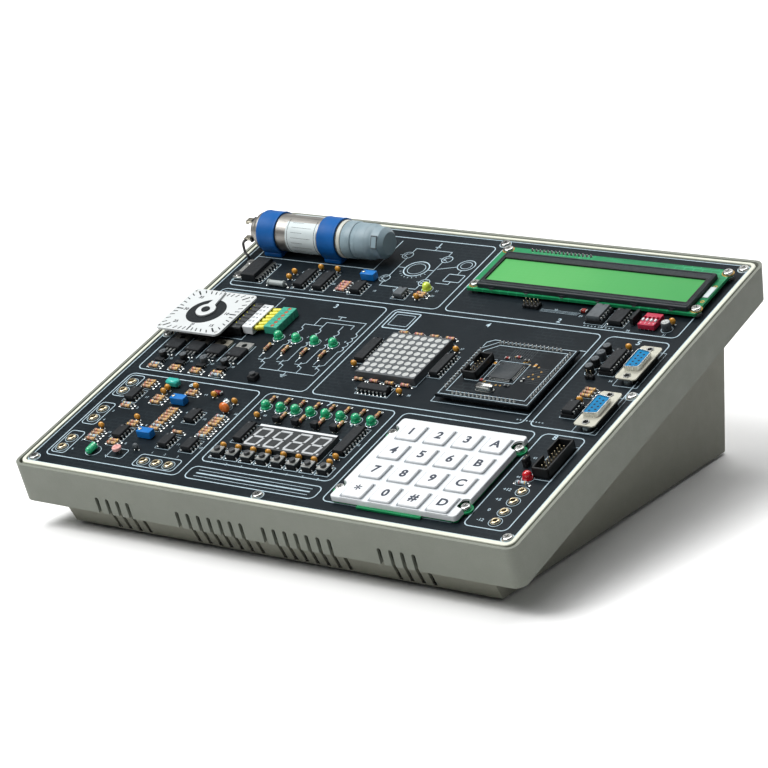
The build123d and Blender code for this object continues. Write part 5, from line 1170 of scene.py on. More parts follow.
# test sockets
SOCK = [(0.0338, v) for v in (0.3057, 0.2714, 0.1965, 0.1617, 0.0827, 0.0479)] + \
       [(u, 0.0455) for u in (0.2224, 0.2505, 0.2790)] + [(0.956, v) for v in (0.1456, 0.1110, 0.0754, 0.0416)]
for u, v in SOCK:
    T = Matrix.Translation((U(u), V(v), 0))
    G.lathe([(1.15, 0.05), (2.75, 0.05), (2.75, 0.5), (2.55, 0.9), (2.1, 1.35), (1.7, 1.48), (1.3, 1.4), (1.15, 1.1), (1.15, 0.05)], "brass", T, 26)
    G.ring(U(u), V(v), 0.02, 0.75, 2.35, 2.74, "ring_cream", 26, 0.1)
    # black disc on the floor of the shallow socket hole: painted shade for a deep dark hole
    G.lathe([(1.14, 0.12), (0, 0.12)], "ink_black", T, 20)
x, y = U(0.2720), V(0.3785)
G.box(x - 2.6, x + 2.6, y - 2.6, y + 2.6, 0.05, 3.2, "black_plastic", 0.3)
G.cyl(x, y, 3.1, 4.6, 1.8, "dark_plastic", 0.25, 22)
G.obj("connector_set", "case", slot="black_plastic", repl=("connectors",))

# ---- switches
G = Geo()
TY = V(0.1093)
for i in range(8):
    x = U(0.3522 + i * 0.0325)
    G.box(x - 3, x + 3, TY - 3, TY + 3, 0.1, 2.9, "black_plastic", 0.25)
    pts_o, pts_i = [], []
    for k in range(32):
        a = 2 * math.pi * k / 32
        c0, s0 = math.cos(a), math.sin(a)
        kk = 2.92 / max(abs(c0), abs(s0))
        pts_o.append((x + kk * c0, TY + kk * s0))
        pts_i.append((x + 1.78 * c0, TY + 1.78 * s0))
    G.frame(pts_o, pts_i, 2.9, 3.4, "tab_steel")
    G.lathe([(1.78, 2.92), (0, 2.92)], "ink_black", Matrix.Translation((x, TY, 0)), 20)
    for sx in (-1, 1):
        for sy in (-1, 1):
            G.cyl(x + sx * 2.3, TY + sy * 2.3, 3.38, 3.5, 0.38, "tin", 0.05, 12)
            G.tube([(x + sx * 2.9, TY + sy * 2.2, 1.0), (x + sx * 3.5, TY + sy * 2.2, 0.9), (x + sx * 3.7, TY + sy * 2.2, 0.5), (x + sx * 3.7, TY + sy * 2.2, 0.03)], 0.3, "tin", 6)
            pad(G, x + sx * 3.6, TY + sy * 2.2, 0.6)
    SILK.rrect(x - 4.3, x + 4.3, TY - 4.0, TY + 4.0, 0.4, w=0.4)
    SILK.text(str(i + 1), x, TY - 7.2, 2.6)
DX0, DX1, DY0, DY1, DH = U(0.900) + 1.6, U(0.933) + 1.6, V(0.743) - 2.0, V(0.789) - 2.0, 3.6
G.box(DX0, DX1, DY0, DY1, 0.5, DH - 1.15, "dip_red", 0.2)
ym = (DY0 + DY1) / 2
G.box(DX0, DX1, DY0, ym - 2.25, DH - 1.3, DH, "dip_red", 0.2)
G.box(DX0, DX1, ym + 2.25, DY1, DH - 1.3, DH, "dip_red", 0.2)
xs = [DX0] + [DX0 + (DX1 - DX0) * (i + 0.5) / 4 + s * 0.8 for i in range(4) for s in (-1, 1)] + [DX1]
for a, b in zip(xs[::2], xs[1::2]):
    G.box(a, b, ym - 2.4, ym + 2.4, DH - 1.3, DH, "dip_red", 0.12)
for i in range(4):
    x = DX0 + (DX1 - DX0) * (i + 0.5) / 4
    G.text(str(i + 1), x, DY0 + 1.8, 1.7, z=DH, h=0.03, mat="silk_white")
    for s in (-1, 1):
        G.box(x - 0.3, x + 0.3, (DY0 if s < 0 else DY1) - 0.05, (DY0 if s < 0 else DY1) + 0.05, 0.1, 0.9, "tin", 0.02)
G.obj("switch_cases", "case", slot="black_plastic", repl=("switch_bodies",))
for i in range(8):
    G = Geo()
    x = U(0.3522 + i * 0.0325)
    G.lathe([(0, 3.26), (1.69, 3.26), (1.69, 4.55), (1.6, 4.85), (1.35, 4.98), (0.8, 4.94), (0, 4.92)], "dark_plastic", Matrix.Translation((x, TY, 0)), 24)
    G.obj("push_%d" % i, "tact_%d" % i, slot="slider_white", repl=("tact_%d" % i,))
for i in range(4):
    G = Geo()
    x = DX0 + (DX1 - DX0) * (i + 0.5) / 4
    G.box(x - 0.68, x + 0.68, ym - 2.1, ym - 0.1, DH - 1.05, DH + 0.62, "white_plastic", 0.18)
    for k in range(3):
        G.box(x - 0.6, x + 0.6, ym - 1.75 + k * 0.5, ym - 1.5 + k * 0.5, DH + 0.55, DH + 0.7, "white_plastic", 0.05)
    G.obj("slider_%d" % i, "dip_%d" % i, slot="slider_white", repl=("dip_%d" % i,))

# ---- dot matrix and digits
G = Geo()
mx0, mx1, my0, my1, MH = U(0.464) + 1.2, U(0.5897) + 1.2, V(0.4412) - 1.5, V(0.5987) - 1.5, 4.6
for i in range(8):
    for j in range(8):
        x = (mx0 + mx1) / 2 + (j - 3.5) * 4.76
        y = (my0 + my1) / 2 + (i - 3.5) * 4.76
        G.lathe([(1.89, MH - 0.34), (1.89, MH - 0.10), (1.7, MH - 0.03), (1.2, MH + 0.04), (0.0, MH + 0.07)], "dot_grey", Matrix.Translation((x, y, 0)), 22)
G.obj("matrix_dots", "case", slot="matrix_grey")
G = Geo()
sx0, sx1, sy0, sy1, SH = U(0.3822) + 1.2, U(0.5482) + 1.2, -90.9, -71.1, 3.2
DY = (sy0 + sy1) / 2 - 0.9
h_, w_, t_, sl = 15.8, 9.0, 1.5, 0.16
hh = h_ / 2 - t_ / 2
for x in [U(a) + 1.2 for a in (0.4020, 0.4430, 0.4856, 0.5267)]:
    for cx, cy, lx, ly in ((0, hh, w_ - 0.9 * t_, t_), (0, 0, w_ - 1.9 * t_, t_), (0, -hh, w_ - 0.9 * t_, t_),
                           (-w_ / 2 + t_ / 2, hh / 2, t_, hh - 0.7 * t_), (w_ / 2 - t_ / 2, hh / 2, t_, hh - 0.7 * t_), (-w_ / 2 + t_ / 2, -hh / 2, t_, hh - 0.7 * t_), (w_ / 2 - t_ / 2, -hh / 2, t_, hh - 0.7 * t_)):
        X, Y = x + cx + sl * cy, DY + cy
        a, b = lx / 2 - 0.03, ly / 2 - 0.03
        if lx > ly:
            e = 0.3
            pts = [(X - a, Y - b + e), (X - a + e, Y - b), (X + a - e, Y - b), (X + a, Y - b + e), (X + a, Y + b - e), (X + a - e, Y + b), (X - a + e, Y + b), (X - a, Y + b - e)]
        else:
            k = sl * b
            pts = [(X - a - k, Y - b), (X + a - k, Y - b), (X + a + k, Y + b), (X - a + k, Y + b)]
        G.prism(pts, SH - 0.3, SH + (0.02 if lx > ly else 0.01), "seg_grey", 0.03)
    G.lathe([(0.72, SH - 0.3), (0.72, SH), (0, SH + 0.02)], "seg_grey", Matrix.Translation((x + 5.0, DY - 7.1, 0)), 18)
G.box(sx0 + 0.1, sx1 - 0.1, sy1 - 0.9, sy1 - 0.05, 0.1, SH - 0.1, "white_plastic", 0.1)
G.box(sx0 + 0.2, sx1 - 0.2, sy1 - 1.7, sy1 - 0.1, SH - 0.06, SH + 0.02, "white_plastic", 0.02)
G.obj("digit_segments", "case", slot="matrix_grey")

# ---- adapter board details
G = Geo()
zz = AB1
inset = 1.3
pts = [(AX0 + inset, AY0 + inset), (AX1 - inset, AY0 + inset), (AX1 - inset, AY1 - inset), (AX0 + 9 + 0.5, AY1 - inset), (AX0 + inset, AY1 - 9 - 0.5)]
G.line(pts, w=0.4, z=zz, h=0.03, closed=True)
pts = [(AX0 + 4.6, AY0 + 4.6), (AX1 - 4.6, AY0 + 4.6), (AX1 - 4.6, AY1 - 4.6), (AX0 + 11, AY1 - 4.6), (AX0 + 4.6, AY1 - 11)]
G.line(pts, w=0.4, z=zz, h=0.03, closed=True)
G.rrect(TQ[0] - 9.4, TQ[0] + 9.4, TQ[1] - 9.4, TQ[1] + 9.4, 0.4, w=0.3, z=zz, h=0.03)
G.rrect(TQ[0] - 10.6 - 9.5, TQ[0] - 10.6 - 1.0, V(.5098) - 12.2, V(.5098) + 8.2, 0.3, w=0.3, z=zz, h=0.03)
for k in range(26):
    a = random.random() * 6.28
    px, py = TQ[0] + (11 + 9 * random.random()) * math.cos(a), TQ[1] + (11 + 5 * random.random()) * math.sin(a)
    if AX0 + 6 < px < AX1 - 6 and AY0 + 6 < py < AY1 - 6 and not (px < U(.69) + 7 and abs(py - V(.5098) + 2) < 11):
        G.ring(px, py, zz, zz + 0.03, 0.25, 0.6, "copper_dot", 12, 0.01)
for k in range(10):
    o = (k - 4.5) * 0.8
    G.line([(TQ[0] + o, TQ[1] + 9.8), (TQ[0] + o * 1.9, TQ[1] + 13.5), (TQ[0] + o * 1.9, AY1 - 6.0)], w=0.14, z=zz, h=0.012, mat="epoxy_grey")
    G.line([(TQ[0] + 9.8, TQ[1] + o), (TQ[0] + 14.0, TQ[1] + o * 1.9), (AX1 - 6.0, TQ[1] + o * 1.9)], w=0.14, z=zz, h=0.012, mat="epoxy_grey")
G.obj("adapter_print", "case", slot="panel_black")

# ---- display details
G = Geo()
LX0, LX1 = U(0.511) + 2.5, U(0.994)
LY0, LY1 = V(0.806) - 3.0, V(0.983) - 3.0
BX0, BX1, BY0, BY1 = 12.2, 145.9, 74.8, 109.6
VX0, VX1, VY0, VY1 = 15.2, 142.9, 79.2, 102.6
zt = LT + 3.0
o1, i1 = rr_pts(BX0 + 1.1, BX1 - 1.1, BY0 + 1.3, BY1 - 1.3, 0.9), rr_pts(BX0 + 1.6, BX1 - 1.6, BY0 + 1.9, BY1 - 1.9, 0.8)
G.frame(o1, i1, zt - 0.05, zt + 0.22, "frame_black")
o1, i1 = rr_pts(VX0 - 0.8, VX1 + 0.8, VY0 - 0.8, VY1 + 0.8, 0.8), rr_pts(VX0 + 0.05, VX1 - 0.05, VY0 + 0.05, VY1 - 0.05, 0.3)
G.frame(o1, i1, zt - 0.9, zt + 0.18, "black_plastic")
for k in range(6):
    xx = BX0 + 10 + k * (BX1 - BX0 - 20) / 5
    for yy in (BY0, BY1):
        G.box(xx - 2.2, xx + 2.2, yy - 0.35, yy + 0.35, LT + 0.02, LT + 1.4, "frame_black", 0.12)
        G.box(xx - 1.0, xx + 1.0, yy - 1.1, yy + 1.1, LT + 0.01, LT + 0.35, "dark_plastic", 0.08)
G.box(U(.988) - 2.2, U(.988) + 1.2, V(.89) - 8.2, V(.89) + 2.2, LT + 0.01, LT + 0.5, "label_white", 0.12)
for yy in (V(.915) - 3, V(.855) - 3):
    G.ring(U(.988) - 0.3, yy, LT, LT + 0.06, 0.55, 1.25, "copper_dot", 18, 0.02)
for x, y in [(U(a) + 2.5 * (1 if a < 0.7 else 0.4), V(b) - 3.0) for a in (0.5217, 0.985) for b in (0.971, 0.8245)]:
    G.ring(x, y, LT, LT + 0.05, 2.9, 3.5, "copper_dot", 26, 0.02)
for k in range(7):
    G.line([(U(.72) + 2 + k * 1.1, V(.9765) - 3 + 1.6), (U(.74) + 2 + k * 3, V(.9765) - 3 + 1.6 - 0.4 * k), (U(.90), V(.9765) - 3 + 1.6 - 0.4 * k)], w=0.16, z=LT, h=0.012, mat="green_mask")
G.obj("display_trim", "case", slot="display_frame")

# ---- keypad
KG = (82.9, -87.8)
PL1 = 4.6
key_pts = [(KG[0] + (j - 1.5) * 17.3, KG[1] + (1.5 - i) * 17.2) for i in range(4) for j in range(4)]
LEG = "123A456B789C*0#D"
for i, (x, y) in enumerate(key_pts):
    G = Geo()
    a, b = 6.22, 6.27
    rings = []
    P = []
    for (da, db, z, r) in ((0.0, 0.0, PL1 - 1.4, 1.3), (0.0, 0.0, PL1 + 0.55, 1.3), (0.12, 0.12, PL1 + 0.95, 1.25), (0.42, 0.42, PL1 + 1.28, 1.2), (0.95, 0.95, PL1 + 1.44, 1.1), (1.7, 1.7, PL1 + 1.40, 1.0), (3.2, 3.2, PL1 + 1.34, 0.8)):
        P.append([(px, py, z) for px, py in rr_pts(x - a + da, x + a - da, y - b + db, y + b - db, r, 4)])
    n = len(P[0])
    vs = [q for R in P for q in R]
    fs = [list(range(n))[::-1]]
    for k in range(len(P) - 1):
        for j in range(n):
            m2 = (j + 1) % n
            fs.append([k * n + j, k * n + m2, (k + 1) * n + m2, (k + 1) * n + j])
    fs.append([(len(P) - 1) * n + j for j in range(n)])
    G.add(vs, fs, "key_white")
    ch = LEG[i]
    G.text(ch, x, y - (0.9 if ch == "*" else 0), 7.8 if ch != "*" else 9.6, z=PL1 + 1.34, h=0.06, mat="legend", bold=0.034 if ch != "*" else 0.012)
    G.obj("keycap_%02d" % i, "key_%02d" % i, slot="keypad_white", repl=("key_%02d" % i,), angle=50)
G = Geo()
for x, y in key_pts:
    G.frame(rr_pts(x - 7.7, x + 7.7, y - 7.4, y + 7.4, 1.4), rr_pts(x - 7.3, x + 7.3, y - 7.0, y + 7.0, 1.2), PL1 - 0.04, PL1 + 0.09, "key_white")
    # flat grey ring at the foot of each key gap: painted shade where the gap falls dark
    G.frame(rr_pts(x - 7.28, x + 7.28, y - 7.05, y + 7.05, 1.3), rr_pts(x - 6.48, x + 6.48, y - 6.53, y + 6.53, 1.2), PL1 - 0.03, PL1 + 0.015, "key_gap")
G.obj("keypad_rims", "case", slot="keypad_white")

# ---- step motor, dial and pointer
STX, STY, STH, SM = -133.1, 14.65, 7.0, 15.0
G = Geo()


def octo(h, c):
    return [(STX - h + c, STY - h), (STX + h - c, STY - h), (STX + h, STY - h + c), (STX + h, STY + h - c), (STX + h - c, STY + h), (STX - h + c, STY + h), (STX - h, STY + h - c), (STX - h, STY - h + c)]


G.prism(octo(SM, 3.5), 0.0, 1.7, "black_plastic", 0.3)
for k in range(5):
    G.prism(octo(SM - 0.25 - (0.15 if k % 2 else 0.0), 3.6), 1.7 + k * 0.72, 1.7 + k * 0.72 + 0.60, "iron_lam", 0.05)
    G.prism(octo(SM - 0.7, 3.6), 2.2 + k * 0.72, 2.5 + k * 0.72, "epoxy", 0.0)
G.prism(octo(SM, 3.5), 5.3, 7.0, "black_plastic", 0.3)
# block beside the motor that carries the six-way plug
PX0, PX, PLY = -104.2, -97.3, 20.0
G.box(-118.2, -104.15, 6.25, 28.95, 0.02, 5.4, "black_plastic", 0.4)
G.box(-116.9, -104.15, 6.25, 32.15, 0.02, 5.4, "black_plastic", 0.4)
G.box(-116.5, -104.4, 6.6, 31.8, 5.3, 5.9, "dark_plastic", 0.3)
for i in range(7):
    yy = PLY + (i - 3) * 3.6
    G.box(-108.6, -104.5, yy - 0.35, yy + 0.35, 5.8, 6.15, "black_plastic", 0.1)
for i in range(6):
    yy = PLY + (i - 2.5) * 3.6
    G.box(-109.9, -109.3, yy - 0.35, yy + 0.35, 5.8, 6.18, "ferrule_yellow", 0.1)
G.box(PX0, PX, PLY - 11.6, PLY - 10.3, 0.8, 5.8, "white_plastic", 0.3)
G.box(PX0, PX, PLY + 10.3, PLY + 11.6, 0.8, 5.8, "white_plastic", 0.3)
G.box(PX0, PX - 2.7, PLY - 11.0, PLY + 11.0, 0.8, 5.8, "white_plastic", 0.2)
G.box(PX0 + 1.0, PX, PLY - 11.0, PLY + 11.0, 0.8, 2.0, "white_plastic", 0.2)
for i in range(6):
    yy = PLY + (i - 2.5) * 3.6
    G.box(PX - 3.0, PX, yy - 1.4, yy + 1.4, 4.9, 5.76, "white_plastic", 0.2)
    if i < 5:
        G.box(PX - 3.0, PX - 0.1, yy + 1.2, yy + 2.4, 1.9, 5.6, "white_plastic", 0.15)
    G.box(PX0 + 0.5, PX0 + 2.6, yy - 0.9, yy + 0.9, 5.74, 5.8, "seg_grey", 0.02)
    G.box(PX0 + 3.4, PX0 + 4.6, yy - 0.5, yy + 0.5, 5.74, 5.8, "gear_dark", 0.02)
G.obj("step_motor", "case", slot="black_plastic", repl=("stepper_motor",))
G = Geo()
zd = STH + 1.2
n = 40
for i in range(n):
    a = 2 * math.pi * i / n
    c0, s0 = math.cos(a), math.sin(a)
    ro = min(21.3 / max(abs(c0), 1e-6), 19.6 / max(abs(s0), 1e-6), 25.8)
    ri = ro - (4.6 if i % 5 == 0 else 2.9)
    G.line([(STX + ri * c0, STY + ri * s0), (STX + ro * c0, STY + ro * s0)], w=0.95 if i % 5 == 0 else 0.65, z=zd, h=0.05, mat="ink_black")
for i in range(8):
    a = math.radians(90 - i * 45)
    rr_ = (13.55, 18.0, 14.5, 18.0)[i % 4]
    G.text(str(i * 5), STX + rr_ * math.cos(a), STY + rr_ * math.sin(a), 2.4 if i % 4 == 0 else 3.2, z=zd, h=0.03, mat="ink_black", bold=0.03)
G.lathe([(3.3, zd), (12.0, zd), (12.0, zd + 0.12), (3.3, zd + 0.14)], "ink_black", Matrix.Translation((STX, STY, 0)), 48)
for sx in (-1, 1):
    for sy in (-1, 1):
        G.lathe([(0, zd), (0.9, zd), (0.9, zd + 0.18), (0.6, zd + 0.25), (0, zd + 0.25)], "screw_steel", Matrix.Translation((STX + sx * 20.2, STY + sy * 18.4, 0)), 16)
G.obj("dial_print", "case", slot="dial_white")
G = Geo()
G.lathe([(2.5, zd + 0.3), (5.9, zd + 0.3), (6.0, zd + 0.45), (6.0, zd + 1.2), (5.75, zd + 1.45), (5.2, zd + 1.5), (3.3, zd + 1.5), (3.1, zd + 1.35), (2.6, zd + 1.35)], "dial_white", Matrix.Translation((STX, STY, 0)), 44)
G.lathe([(2.6, zd + 0.4), (2.6, zd + 1.4), (2.5, zd + 1.9), (2.3, zd + 2.0), (0, zd + 2.0)], "ink_black", Matrix.Translation((STX, STY, 0)), 30)
G.lathe([(2.49, 2.7), (2.49, zd + 0.5)], "screw_steel", Matrix.Translation((STX, STY, 0)), 24)
G.prism([(STX - 2.6, STY + 5.2), (STX + 2.6, STY + 5.2), (STX + 0.7, STY + 19.0), (STX - 0.7, STY + 19.0)], zd + 0.3, zd + 1.3, "dial_white", 0.25)
G.obj("pointer_knob", "dial_pointer", slot="dial_white", repl=("dial_pointer",))

# ---- leads of the step motor and the DC motor, and inside the case
G = Geo()
for i in range(6):
    y0, y1 = PLY + (i - 2.5) * 3.6, TBY0 + (TBY1 - TBY0) * (i + 0.5) / 6
    A, B = Vector((PX - 2.4, y0, 3.4)), Vector((TBX0 + 1.5, y1, 2.6))
    pts, rad = [], []
    for k in range(13):
        t_ = k / 12
        p = A.lerp(B, t_)
        p.y = y0 + (y1 - y0) * (3 * t_ * t_ - 2 * t_ ** 3)
        p.z += 0.35 * math.sin(math.pi * t_)
        pts.append(p)
        rad.append(0.75 if t_ < 0.12 else (1.0 if t_ < 0.27 else (1.45 if t_ < 0.80 else (0.95 if t_ < 0.86 else 0.8))))
    G.tube(pts, rad, "ferrule_yellow", 14)
MR, MN, MY, MX0, MX1 = 11.0, 12.0, 96.0, -158.6, -58.0
for sy, mt in ((-1, "wire_black"), (1, "wire_red")):
    y0, z_ = MY + sy * (6.6 * math.cos(math.radians(30)) + 2.3), MN - 2.8
    ctl = [Vector(p) for p in ((MX0 + 2.0, y0, z_), (MX0 + 2.0, y0 + sy * 3.2, z_ - 0.3), (MX0 + 4.0, y0 + sy * 6.0, z_ - 4.6), (MX0 + 6.0, y0 + sy * 6.7, z_ - 6.4), (MX0 + 6.0, y0 + sy * 6.7, 0.05))]
    pts = []
    for s in range(len(ctl) - 1):
        p0, p1, p2, p3 = ctl[max(s - 1, 0)], ctl[s], ctl[s + 1], ctl[min(s + 2, len(ctl) - 1)]
        for q in range(8):
            t_ = q / 8
            pts.append(0.5 * ((2 * p1) + (p2 - p0) * t_ + (2 * p0 - 5 * p1 + 4 * p2 - p3) * t_ * t_ + (3 * p1 - p0 - 3 * p2 + p3) * t_ ** 3))
    pts.append(ctl[-1])
    G.tube(pts, 0.8, mt, 10)
LEADS = G

# ---- DC motor
G = Geo()
RX = Matrix.Translation((0, MY, MN)) @ Matrix.Rotation(math.radians(90), 4, "Y")
B0, B1 = MX0 + 10, MX1 - 27.5
R = MR
G.lathe([(0, B0), (R - 1.6, B0), (R - 0.5, B0 + 0.5), (R, B0 + 1.6), (R, B0 + 3.0), (R - 0.5, B0 + 3.3), (R - 0.5, B0 + 3.9), (R, B0 + 4.2), (R, B1 - 3.4), (R - 0.4, B1 - 3.2), (R - 0.4, B1 - 2.9)], "motor_can", RX, 64)
G.lathe([(R - 0.4, B1 - 2.9), (R, B1 - 2.7), (R, B1 - 0.4), (R - 0.8, B1), (0, B1)], "ring_cream", RX, 64)
G.lathe([(0, B0 - 4.4), (6.2, B0 - 4.4), (7.2, B0 - 4.0), (7.5, B0 - 3.2), (7.5, B0 + 0.3)], "motor_can", RX, 40)
G.lathe([(0, B0 - 5.6), (3.0, B0 - 5.6), (3.4, B0 - 5.2), (3.4, B0 - 4.2)], "brass", RX, 24)
for a in (90, 210, 330):
    k = math.radians(a)
    yy, z_ = MY + 6.6 * math.cos(k), MN + 5.6 * math.sin(k)
    G.box(MX0, MX0 + 6.2, yy - 2.2, yy + 2.2, z_ - 0.6, z_ + 0.6, "tab_mid_and_painted_half_shade", 0.2)
    G.box(MX0, MX0 + 1.6, yy - 2.2, yy + 2.2, z_ - 1.5, z_ + 0.6, "tab_mid_and_painted_half_shade", 0.2)
    G.box(MX0 + 4.6, MX0 + 6.4, yy - 2.2, yy + 2.2, z_ - 1.6, z_ + 1.6, "black_plastic", 0.3)
for k in range(8):
    a = 2 * math.pi * k / 8 + 0.3
    M = RX @ Matrix.Rotation(a, 4, "Z")
    G.box(8.2, 9.6, -1.1, 1.1, B0 - 0.15, B0 + 0.2, "epoxy", 0.1, M)
# bare label wrapped round the can, with a plain ruled border
LBX0, LBX1 = MX0 + 34.0, MX0 + 56.0


def wrap(x0, x1, a0, a1, r, mat, n=40, th=0.06):
    vs, fs = [], []
    for i in range(n + 1):
        a = math.radians(a0 + (a1 - a0) * i / n)
        for rr2 in (r, r + th):
            for xx in (x0, x1):
                vs.append((xx, MY + rr2 * math.cos(a), MN + rr2 * math.sin(a)))
    for i in range(n):
        o = i * 4
        fs += [[o + 2, o + 3, o + 7, o + 6], [o, o + 4, o + 5, o + 1], [o, o + 2, o + 6, o + 4], [o + 1, o + 5, o + 7, o + 3]]
    fs += [[0, 1, 3, 2], [n * 4, n * 4 + 2, n * 4 + 3, n * 4 + 1]]
    G.add(vs, fs, mat)


wrap(LBX0, LBX1, -250, 70, R + 0.02, "label_white", 80)
wrap(LBX0 + 1.2, LBX0 + 1.5, 100, 250, R + 0.08, "ink_black", 40, 0.02)
wrap(LBX1 - 1.5, LBX1 - 1.2, 100, 250, R + 0.08, "ink_black", 40, 0.02)
for a in (112, 128, 144, 160, 176, 192, 208, 224):
    wrap(LBX0 + 4.0, LBX1 - 4.0 - (6 if a % 32 else 0), a, a + 0.9, R + 0.08, "ink_black", 2, 0.02)
G.obj("dc_motor_can", "case", slot="motor_steel", repl=("dc_motor",))
# encoder cap: stepped cup with a faceted nose
G = Geo()
E0 = MX1 - 27.5
G.lathe([(0, E0), (10.7, E0), (10.9, E0 + 0.4), (10.9, E0 + 5.9), (10.7, E0 + 6.4), (10.5, E0 + 6.5), (10.2, E0 + 6.8)], "gear_grey", RX, 64)
n = 64


def sq(r, flat, n=64):
    # round with two flats, for the nose
    out = []
    for i in range(n):
        a = 2 * math.pi * i / n
        y, z = r * math.cos(a), r * math.sin(a)
        y = max(-flat, min(flat, y))
        out.append((y, z))
    return out


secs = [(E0 + 6.4, 10.1, 10.4), (E0 + 7.2, 10.45, 10.45), (E0 + 18.0, 10.4, 10.4), (E0 + 19.5, 9.5, 9.4), (E0 + 20.2, 9.25, 9.1), (E0 + 24.8, 9.1, 8.9), (E0 + 26.8, 7.4, 7.2), (E0 + 27.5, 6.6, 6.4)]
vs, fs = [], []
for xx, r, fl in secs:
    for (y, z) in sq(r, fl):
        vs.append((xx, MY + y, MN + z))
for k in range(len(secs) - 1):
    for i in range(n):
        j = (i + 1) % n
        fs.append([k * n + i, k * n + j, (k + 1) * n + j, (k + 1) * n + i])
fs.append([(len(secs) - 1) * n + i for i in range(n)])
fs.append(list(range(n))[::-1])
G.add(vs, fs, "gear_grey")
for xr in (E0 + 9.0, E0 + 15.2):
    G.lathe([(10.3, xr), (10.5, xr + 0.15), (10.5, xr + 0.75), (10.3, xr + 0.9)], "gear_grey", RX, 64)
# darker inset on the slanting end
MI = Matrix.Translation((E0 + 22.6, MY, MN)) @ Matrix.Rotation(math.radians(58), 4, "X") @ Matrix.Translation((0, 0, 8.85))
G.box(-2.2, 2.2, -3.8, 3.8, 0.0, 0.40, "gear_dark", 0.12, MI)
G.box(-1.6, 1.6, -3.1, 3.1, 0.2, 0.45, "gear_grey", 0.05, MI)
G.lathe([(0, E0 + 27.46), (4.6, E0 + 27.46), (4.8, E0 + 27.49), (5.6, E0 + 27.49), (5.8, E0 + 27.1)], "gear_grey", RX, 40)
G.obj("encoder_housing", "case", slot="cap_grey", repl=("encoder_cap",), angle=32)
# blue straps with rolled edges, feet and a buckle
G = Geo()
for k, (x0, x1) in enumerate(((MX0 + 13.5, MX0 + 26.5), (MX1 - 43.5, MX1 - 31.0))):
    m0 = (x0 + x1) / 2
    G.lathe([(R + 0.03, x0 + 0.2), (R + 0.5, x0), (R + 1.0, x0 + 0.2), (R + 1.15, x0 + 0.9), (R + 0.95, x0 + 1.7), (R + 1.0, m0), (R + 0.95, x1 - 1.7), (R + 1.15, x1 - 0.9), (R + 1.0, x1 - 0.2), (R + 0.5, x1), (R + 0.03, x1 - 0.2)],
            "strap_blue", RX, 72)
    # flared skirt down to the board on both sides
    for s in (-1, 1):
        vs, fs = [], []
        prof = []
        for q in range(9):
            t_ = q / 8
            a = math.radians(-12 - 40 * t_)
            yy = (R + 1.1) * math.cos(a) if t_ < 0.5 else (R + 1.1) * math.cos(math.radians(-32)) - 6.0 * (t_ - 0.5) * 2 * 0.55
            z_ = MN + (R + 1.1) * math.sin(a) if t_ < 0.5 else (MN + (R + 1.1) * math.sin(math.radians(-32))) * (1 - (t_ - 0.5) * 2)
            prof.append((yy, max(z_, 0.02)))
        for (yy, z_) in prof:
            for xx in (x0 + 0.3, x1 - 0.3):
                for d in (0, 1.0):
                    vs.append((xx, MY + s * (yy - d), z_))
        m = len(prof)
        for q in range(m - 1):
            o = q * 4
            fs += [[o, o + 4, o + 6, o + 2], [o + 1, o + 3, o + 7, o + 5], [o, o + 1, o + 5, o + 4], [o + 2, o + 6, o + 7, o + 3]]
        fs += [[0, 2, 3, 1], [(m - 1) * 4, (m - 1) * 4 + 1, (m - 1) * 4 + 3, (m - 1) * 4 + 2]]
        G.add(vs, fs, "strap_blue")
    G.box(x0 + 0.2, x1 - 0.2, MY - 9.3, MY + 9.3, 0.02, 2.6, "strap_blue", 0.5)
M = RX @ Matrix.Rotation(math.radians(100), 4, "Z")
xb = MX1 - 37.2
G.box(R + 0.9, R + 1.34, -3.0, 3.0, xb - 4.0, xb + 4.0, "black_plastic", 0.15, M)
for s in (-1, 1):
    G.box(R + 0.9, R + 1.34, s * 2.2, s * 3.3, xb - 5.2, xb + 5.2, "black_plastic", 0.15, M)
G.obj("motor_bands", "case", slot="strap_blue", repl=("motor_straps",))

# ---- inside wiring, transformer winding and supply parts
G = LEADS
y_b0 = -123.5 * C15 + 40.4 * S15
y_b1 = y_b0 + 226.5
IN_X, IN_Z = -70.0, 36.0
IY = y_b1 + 5.2
FLOOR = 4.2
TR = (-62.0, y_b0 + 140.0)
PS = (58.0, y_b0 + 150.0)
T0 = FLOOR + 7.6
W2P = PM.inverted() @ WM


def world_tube(ctl, r, mat):
    ctl = [Vector(p) for p in ctl]
    pts = []
    for s in range(len(ctl) - 1):
        p0, p1, p2, p3 = ctl[max(s - 1, 0)], ctl[s], ctl[s + 1], ctl[min(s + 2, len(ctl) - 1)]
        for q in range(8):
            t_ = q / 8
            pts.append(0.5 * ((2 * p1) + (p2 - p0) * t_ + (2 * p0 - 5 * p1 + 4 * p2 - p3) * t_ * t_ + (3 * p1 - p0 - 3 * p2 + p3) * t_ ** 3))
    pts.append(ctl[-1])
    G.tube([W2P @ p for p in pts], r, mat, 10)


